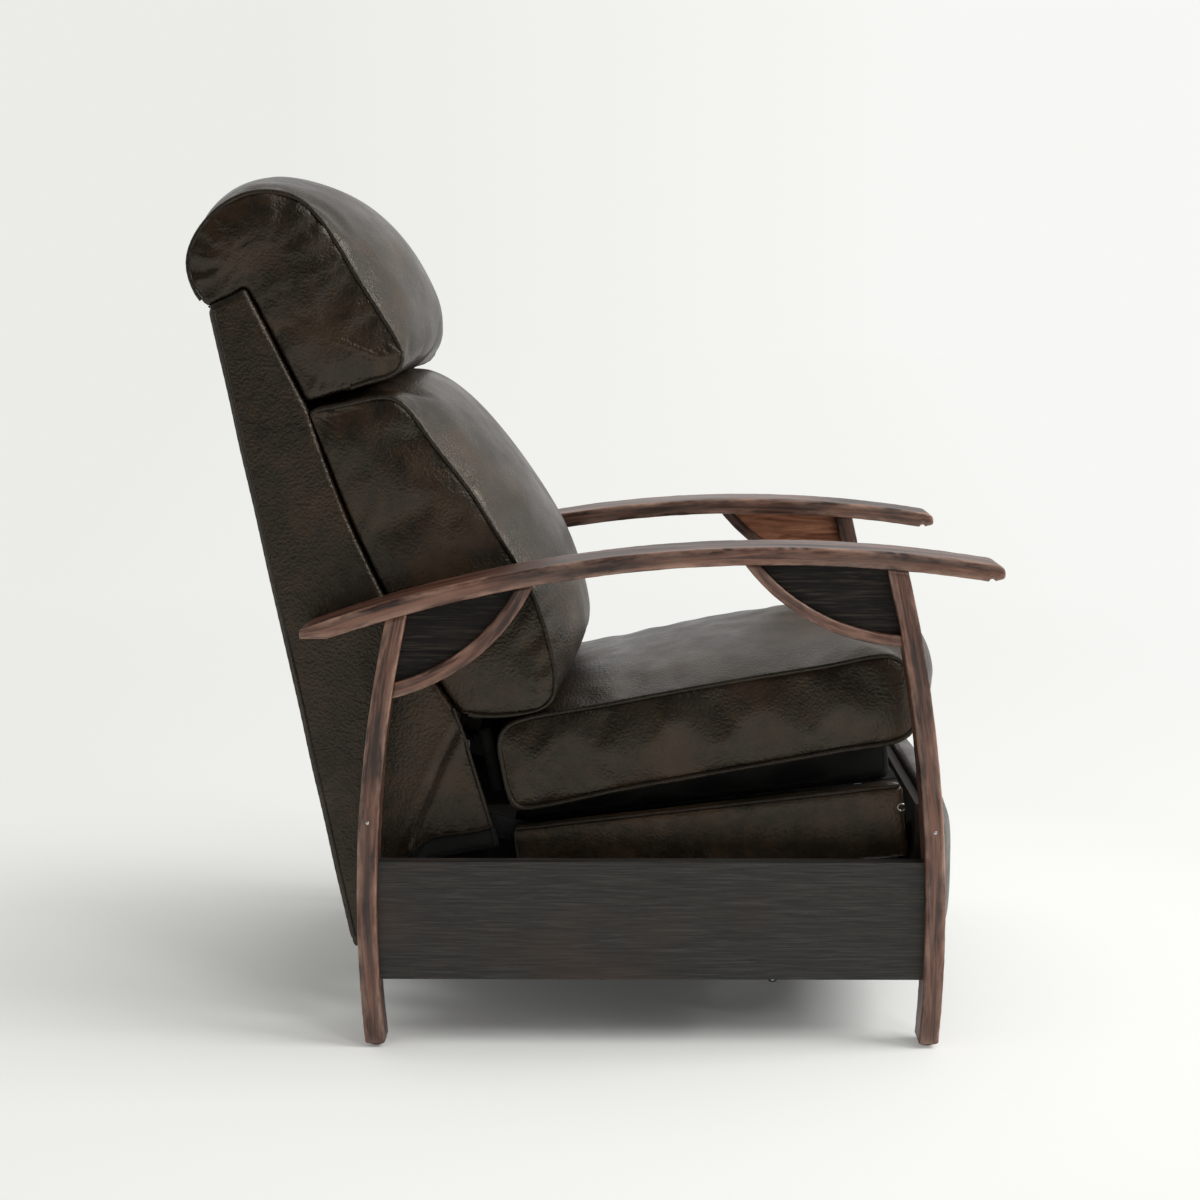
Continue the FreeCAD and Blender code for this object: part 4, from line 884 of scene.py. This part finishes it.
# upholstered panels: a remeshed copy of the solid, rounded and softly uneven
def upholster(name, node, body, material, slot, voxel=5.0, rounds=6, uneven=1.2, shrink=0.0,
              mould=None):
    obj = newObject(name, nodes[node].data.copy())
    reshape(obj.data, lambda edit: bmesh.ops.remove_doubles(edit, verts=edit.verts, dist=1e-5))
    if voxel:
        modifier = obj.modifiers.new("even", "REMESH")
        modifier.mode = "VOXEL"
        modifier.voxel_size = voxel * mm
    else:
        modifier = obj.modifiers.new("round", "BEVEL")  # thin webbing only gets soft edges
        modifier.width = 0.7 * mm
        modifier.segments = 2
    bake(obj, modifier)

    def soften(edit):
        for _ in range(rounds):
            bmesh.ops.smooth_vert(edit, verts=edit.verts, factor=0.5, use_axis_x=True, use_axis_y=True,
                                  use_axis_z=True)
        edit.normal_update()
        for v in edit.verts:
            rise = noise.noise(v.co * 9.0) * uneven - shrink + (mould(v) if mould else 0.0)
            v.co += v.normal * rise * mm

    reshape(obj.data, soften)
    dress(obj, material, body, slot, node)
    return obj


# wing seams, as (depth from the back's rear, height along the back)
wingSeams = {"front": [(203, 404), (209, 363), (213, 315), (218, 250), (219, 238)],
             "rear": [(7, 982), (7, 800), (7, 600), (7, 400), (7, 250), (7, 124)],
             "hem": [(222, 236), (205, 235), (188, 235), (165, 237), (142, 238), (125, 233), (111, 226),
                     (94, 217)],
             "crease": [(200, 374), (193, 364), (169, 332), (148, 300), (119, 258), (100, 228)],
             "creaseDepth": 3.6, "creaseWidth": 4.5, "creaseSpan": (210, 400), "creaseFrom": 60,
             "foldRise": 3.0, "foldAway": 11, "foldWidth": 9, "foldBehind": 0.35, "x": 279, "middleX": 267,
             "hemStart": 95, "liningShare": 0.72, "wrapFrom": 32, "wrap": 12.0, "wrapEase": 15}
outsideBackSpec = {"tuckFrom": 262, "tuckShare": 0.75}
apronSpec = {"lean": 6.7, "height": 283.5, "run": (-414, 104), "x": 277.6, "drop": (-4, -62)}


def creaseMould(v):
    t, h = toBack(v.co.y / mm, v.co.z / mm)
    low, high = wingSeams["creaseSpan"]
    outward = abs(v.normal.x) >= 0.5 and v.normal.x * v.co.x >= 0
    if not outward or t < wingSeams["creaseFrom"] or not low <= h <= high:
        return 0.0
    best, lean = 1e9, 1
    for (t0, h0), (t1, h1) in zip(wingSeams["crease"], wingSeams["crease"][1:]):
        dt, dh = t1 - t0, h1 - h0
        u = max(0, min(1, ((t - t0) * dt + (h - h0) * dh) / (dt * dt + dh * dh)))
        gap = math.hypot(t - t0 - u * dt, h - h0 - u * dh)
        if gap < best:
            best, lean = gap, math.copysign(1, dt * (h - h0) - dh * (t - t0))
    ends = min(1, (h - low + 5) / 30) * min(1, (high + 4 - h) / 40)
    groove = -wingSeams["creaseDepth"] * math.exp(-(best / wingSeams["creaseWidth"]) ** 2)
    fold = wingSeams["foldRise"] * math.exp(-((best - wingSeams["foldAway"]) / wingSeams["foldWidth"]) ** 2)
    return (groove + fold * (1 if lean > 0 else wingSeams["foldBehind"])) * ends


def hemHeight(t):
    hem = wingSeams["hem"][::-1]
    return np.interp(t, [p[0] for p in hem], [p[1] for p in hem])


def splitHem(obj, word, side):
    # leather ends at the hem; black lining hangs below it
    lining = newObject(word + "_wing_lining", obj.data.copy())
    start, middleX = wingSeams["hemStart"], wingSeams["middleX"]
    for piece, keepBelow in ((obj, False), (lining, True)):
        def trim(edit):
            gone = []
            for face in edit.faces:
                middle = face.calc_center_median()
                t, h = toBack(middle.y / mm, middle.z / mm)
                if (t > start and h < hemHeight(t)) != keepBelow:
                    gone.append(face)
            bmesh.ops.delete(edit, geom=gone, context="FACES")
            rim = [e for e in edit.edges if e.is_boundary]
            for v in {v for e in rim for v in e.verts}:
                t, h = toBack(v.co.y / mm, v.co.z / mm)
                if t > start + 2:
                    y, z = fromBack(t, hemHeight(t))
                    v.co.y, v.co.z = y * mm, z * mm
            bmesh.ops.holes_fill(edit, edges=rim)
            if keepBelow:
                for v in edit.verts:
                    v.co.x = side * (middleX + (abs(v.co.x) / mm - middleX) * wingSeams["liningShare"]) * mm
            bmesh.ops.recalc_face_normals(edit, faces=edit.faces)

        reshape(piece.data, trim)
    dress(lining, liningCloth, "back", "cloth")


def wrapRear(obj):
    # the wing leather covers the side of the outside back
    for v in obj.data.vertices:
        t, h = toBack(v.co.y / mm, v.co.z / mm)
        past = wingSeams["wrapFrom"] - t
        if past > 0:
            y, z = fromBack(t - wingSeams["wrap"] * min(1, past / wingSeams["wrapEase"]), h)
            v.co.y, v.co.z = y * mm, z * mm


for word, side in sides.items():
    wing = upholster(word + "_wing_leather", word + "_wing", "back", leather, "leather", voxel=4.0, rounds=3,
                     shrink=-0.4, mould=creaseMould)
    wrapRear(wing)
    splitHem(wing, word, side)
    # the aprons take the lighter leather copy, painted light over their shade
    upholster(word + "_apron_leather", word + "_apron", "seat", apronPaintedLightLeather, "leather", voxel=4.0, rounds=3)


def curveThrough(points, count):
    # a smooth open path with even steps
    keys = np.array(points, float)
    keys = np.vstack((2 * keys[0] - keys[1], keys, 2 * keys[-1] - keys[-2]))
    out = []
    for i in range(1, len(keys) - 2):
        p0, p1, p2, p3 = keys[i - 1:i + 3]
        for k in range(count):
            t = k / count
            out.append(0.5 * (2 * p1 + (p2 - p0) * t + (2 * p0 - 5 * p1 + 4 * p2 - p3) * t ** 2
                              + (3 * p1 - 3 * p2 + p3 - p0) * t ** 3))
    return out + [keys[-2]]


def onWing(points, side, lift):
    path = []
    for t, h in curveThrough(points, 8):
        y, z = fromBack(t, h)
        path.append((side * (wingSeams["x"] + lift) * mm, y * mm, z * mm))
    return path


for word, side in sides.items():
    for label, seam, lift, size in (("front_welt", "front", -0.6, 2.3), ("rear_welt", "rear", -1.0, 2.0),
                                    ("hem", "hem", -1.2, 2.4)):
        welt(f"{word}_wing_{label}", [onWing(wingSeams[seam], side, lift)], size, "back", closed=False)
    c, n = math.cos(math.radians(apronSpec["lean"])), math.sin(math.radians(apronSpec["lean"]))
    paths = [[(u, 1.3 * noise.noise(Vector((u * 0.02, side, 0)))) for u in np.linspace(*apronSpec["run"], 60)],
             [(apronSpec["run"][0] - 1.5, w) for w in np.linspace(*apronSpec["drop"], 12)]]
    for label, path, size in (("top", paths[0], 2.6), ("front", paths[1], 1.5)):
        welt(f"{word}_apron_{label}_welt", [[(side * apronSpec["x"] * mm, (u * c + w * n) * mm,
                                             (apronSpec["height"] - u * n + w * c) * mm) for u, w in path]],
             size, "seat", closed=False)
outsideBack = upholster("outside_back_leather", "outside_back", "back", leather, "leather", voxel=3.5, rounds=2,
                        shrink=-0.5)
for v in outsideBack.data.vertices:
    past = abs(v.co.x) - outsideBackSpec["tuckFrom"] * mm
    if past > 0:
        v.co.x -= math.copysign(past * (1 - outsideBackSpec["tuckShare"]), v.co.x)
for body, solid in (("seat", "seat_deck"), ("back", "back_foam")):
    upholster(solid + "_lining", solid, body, liningCloth, "cloth", voxel=6.0)
for body in ("seat", "back"):
    upholster(body + "_straps", body + "_webbing", body, liningCloth, "cloth", voxel=None, rounds=0, uneven=0.0)
say("upholstered panels ready")

# black lining behind the wings and beside the deck, a stuffed pull-down behind the seat, a flap under the head
liningSpec = {"lining_flap": ([(74, 186), (222, 186), (222, 258), (84, 258)], (235.5, 238.0)),
              "deck_strip": ([(72, 266.3), (72, 270.3), (-404, 324.6), (-404, 320.6)], (212.0, 244.8)),
              "pull": [(12, 20), (27, 20), (31, 108), (13, 110)], "pullHalf": 242.0,
              "head": [(0.5, 985.3), (13.0, 985.3), (13.0, 989.6), (-1.0, 988.6)], "headHalf": 268.0}


def prism(name, outline, x0, x1, material, body, slot, edge):
    points = [(x * mm, y * mm, z * mm) for x in (x0, x1) for y, z in outline]
    n = len(outline)
    faces = [tuple(range(n)), tuple(range(2 * n - 1, n - 1, -1))]
    faces += [(k, n + k, n + (k + 1) % n, (k + 1) % n) for k in range(n)]
    obj = newMesh(name, points, faces)
    modifier = obj.modifiers.new("round", "BEVEL")
    modifier.width = edge * mm
    modifier.segments = 3
    bake(obj, modifier)
    return dress(obj, material, body, slot)


for word, side in sides.items():
    for label in ("lining_flap", "deck_strip"):
        outline, (x0, x1) = liningSpec[label]
        prism(f"{word}_{label}", outline, side * x0, side * x1, liningCloth, "seat", "cloth", 0.8)
half, outline = liningSpec["pullHalf"], [fromSeat(*p) for p in liningSpec["pull"]]
prism("back_pull_down", outline, -half, half, liningCloth, "back", "cloth", 5.0)
half, outline = liningSpec["headHalf"], [fromBack(*p) for p in liningSpec["head"]]
prism("head_flap", outline, -half, half, leather, "back", "leather", 1.2)
say("linings ready")

# finishes of the CAD pieces that show
finishes = {
    boardWood: ["left_side_panel", "right_side_panel"],
    armBoardWood: [w + n for w in ("left_", "right_") for n in ("front_arm_panel", "rear_arm_panel")],
    railWood: ["front_cross_rail", "rear_cross_rail", "seat_end_rails", "footrest_board", "back_rails",
               "left_seat_rail", "right_seat_rail", "left_back_post", "right_back_post"],
    blackSteel: ["left_track", "right_track", "left_carriage", "right_carriage", "drive_links", "control_links",
                 "lift_links", "tilt_links", "footrest_pivot_plates", "footrest_brackets", "drive_tube",
                 "hinge_arms", "hinge_plates"],
    zincPlate: ["track_screws", "seat_pins", "knee_pins", "control_pins", "foot_pins", "hinge_pins"],
    nylon: ["slide_blocks"],
    glideFoot: ["foot_glides"],
}
for material, names in finishes.items():
    for name in names:
        nodes[name].data.materials.clear()
        nodes[name].data.materials.append(material)
say("finishes set")

# small metal: the nails of the legs and the hook at the apron's front corner
smallSpec = {"nailRadius": 2.4, "nailRise": 0.35, "nailIn": 0.45, "nails": [("front", 291.0), ("rear", 303.0)],
             "hookRadius": 4.8, "hookArc": (-150, 131, 20), "hook": (281.0, -414.0, 303.0), "wire": 1.1}


def nail(name, centre, radius, side):
    rise, turns, bands = side * radius * smallSpec["nailRise"], 14, 4
    points = [(rise, 0, 0)]
    for k in range(bands):
        a = math.radians(30 + 20 * k)
        wide = radius * math.sin(a)
        for b in np.linspace(0, 2 * math.pi, turns, endpoint=False):
            points.append((rise * math.cos(a), wide * math.cos(b), wide * math.sin(b)))
    faces = [(0, 1 + i, 1 + (i + 1) % turns) for i in range(turns)]
    for k in range(bands - 1):
        for i in range(turns):
            a, b = 1 + k * turns + i, 1 + k * turns + (i + 1) % turns
            faces.append((a, b, b + turns, a + turns))
    faces.append(tuple(1 + (bands - 1) * turns + i for i in range(turns)))
    obj = newMesh(name, (np.array(points) + centre) * mm, faces)
    return dress(obj, zincPlate, "frame", "zinc")


for word, side in sides.items():
    for end, height in smallSpec["nails"]:
        leg = legSpec[end]
        radius = leg["bend"] - legSpec["thickness"] * smallSpec["nailIn"]
        y = leg["centre"][0] + leg["sign"] * math.sqrt(radius ** 2 - (height - leg["centre"][1]) ** 2)
        nail(f"{word}_{end}_nail", (side * legSpec["xOuter"], y, height), smallSpec["nailRadius"], side)
    x, y, z = smallSpec["hook"]
    size = smallSpec["hookRadius"]
    arc = [Vector((side * x, y + size * math.cos(a), z + size * math.sin(a))) * mm
           for a in np.radians(np.arange(*smallSpec["hookArc"]))]
    welt(word + "_apron_hook", [arc], smallSpec["wire"], "seat", zincPlate, "zinc", False)
say("small metal ready")

# studio: a wide floor that fades into a pale surround, with soft light from the front and above; the fade is
# painted light that lifts the floor's cast shadow away from the chair
studioSpec = {"floor": (0.86, 0.86, 0.835), "reach": 30.0, "level": 0.8, "fan": 9.3, "fanHalf": 0.14,
              "oval": (1 / 1.35, 1 / 1.25, 0), "ovalShift": (-0.05, -0.05, 0), "nearFade": (0.30, 1.05),
              "farFade": (1.2, 3.2), "nearPaintedLight": 0.03,
              "paintedBrightRight": (0.935, 0.942, 0.912), "paintedDimLeft": (0.835, 0.842, 0.802), "surround": (1, 1, 0.985),
              "world": (0.36, 0.80), "mirror": (0.03, 0.88), "worldSpan": (-0.7, 0.35), "target": (0, 0, 0.5),
              "lamps": {"key": (245.0, (-0.9, -4.3, 3.9), (3.2, 2.6)),
                        "sheen": (50.0, (-3.9, -2.6, 4.6), (1.3, 1.3))}}


# painted light falloff: the tint is brighter towards the right (-Y) and dimmer towards the left (+Y), as from
# light on the right
def paintedFalloffTint(wiring, across, spec):
    share = wiring.grey(across, 0.0, 1.0, -spec["fanHalf"], spec["fanHalf"])
    return wiring.ramp(share, (0.0, spec["paintedBrightRight"]), (1.0, spec["paintedDimLeft"]))


def buildFloor(spec):
    reach = spec["reach"]
    corners = [(-reach, -reach, 0), (reach, -reach, 0), (reach, reach, 0), (-reach, reach, 0)]
    mesh = bpy.data.meshes.new("studio_floor")
    mesh.from_pydata(corners, [], [(0, 1, 2, 3)])
    floor = newObject("studio_floor", mesh)
    paint = Paint("studioPaper")
    paint.finish(colour=spec["floor"], roughness=0.9, specular=0.0)
    spot = paint.add("ShaderNodeSeparateXYZ", {"Vector": paint.coords()}).outputs
    # the floor glows for the camera, a little under the chair and more further out: painted light that lifts
    # the cast shadow on the floor
    oval = paint.coords(spec["oval"], shift=spec["ovalShift"])
    far = paint.add("ShaderNodeVectorMath", {0: oval}, operation="LENGTH").outputs["Value"]
    share = paint.math("ADD", paint.grey(far, spec["nearPaintedLight"], spec["level"], *spec["nearFade"]),
                       paint.grey(far, 0.0, 1 - spec["level"], *spec["farFade"]))
    seen = paint.add("ShaderNodeLightPath").outputs["Is Camera Ray"]
    depth = paint.math("ADD", paint.math("ABSOLUTE", spot["X"]), spec["fan"])
    pale = paintedFalloffTint(paint, paint.math("DIVIDE", spot["Y"], depth), spec)
    glow = paint.add("ShaderNodeEmission", {"Color": pale, "Strength": 1.0}).outputs[0]
    blend = paint.add("ShaderNodeMixShader", {0: paint.math("MULTIPLY", share, seen),
                                              1: paint.shader.outputs[0], 2: glow})
    paint.feed(paint.output.inputs["Surface"], blend.outputs[0])
    floor.data.materials.append(paint.material)


def buildSurround(spec):
    # pale to the eye with a painted light falloff, brighter to the right and dimmer to the left; darker on the
    # camera's side for the leather's reflections
    scene.world = bpy.data.worlds.new("studio")
    scene.world.use_nodes = True
    sky = Wiring(scene.world.node_tree)
    path = sky.add("ShaderNodeLightPath").outputs
    place = sky.add("ShaderNodeTexCoord").outputs["Generated"]
    way = sky.add("ShaderNodeSeparateXYZ", {"Vector": place}).outputs
    eye = path["Is Camera Ray"]
    seen = sky.math("MAXIMUM", sky.math("MAXIMUM", eye, path["Is Glossy Ray"]), path["Is Transmission Ray"])
    soft, mirrored = (sky.grey(way["X"], *spec[key], *spec["worldSpan"]) for key in ("world", "mirror"))
    shade = sky.tree.nodes["Background"].inputs
    sky.feed(shade["Strength"], sky.grey(eye, sky.grey(seen, soft, mirrored), 1.0))
    sky.feed(shade["Color"], sky.mix(eye, spec["surround"], paintedFalloffTint(sky, way["Y"], spec)))


def buildLamps(spec):
    for name, (energy, place, size) in spec["lamps"].items():
        light = bpy.data.lights.new(name, "AREA")
        light.shape = "RECTANGLE"
        light.size, light.size_y = size
        light.energy = energy
        lamp = newObject(name, light)
        lamp.location = place
        lamp.rotation_mode = "QUATERNION"
        lamp.rotation_quaternion = (Vector(spec["target"]) - lamp.location).to_track_quat("-Z", "Y")


buildFloor(studioSpec)
buildSurround(studioSpec)
buildLamps(studioSpec)
say("studio ready")
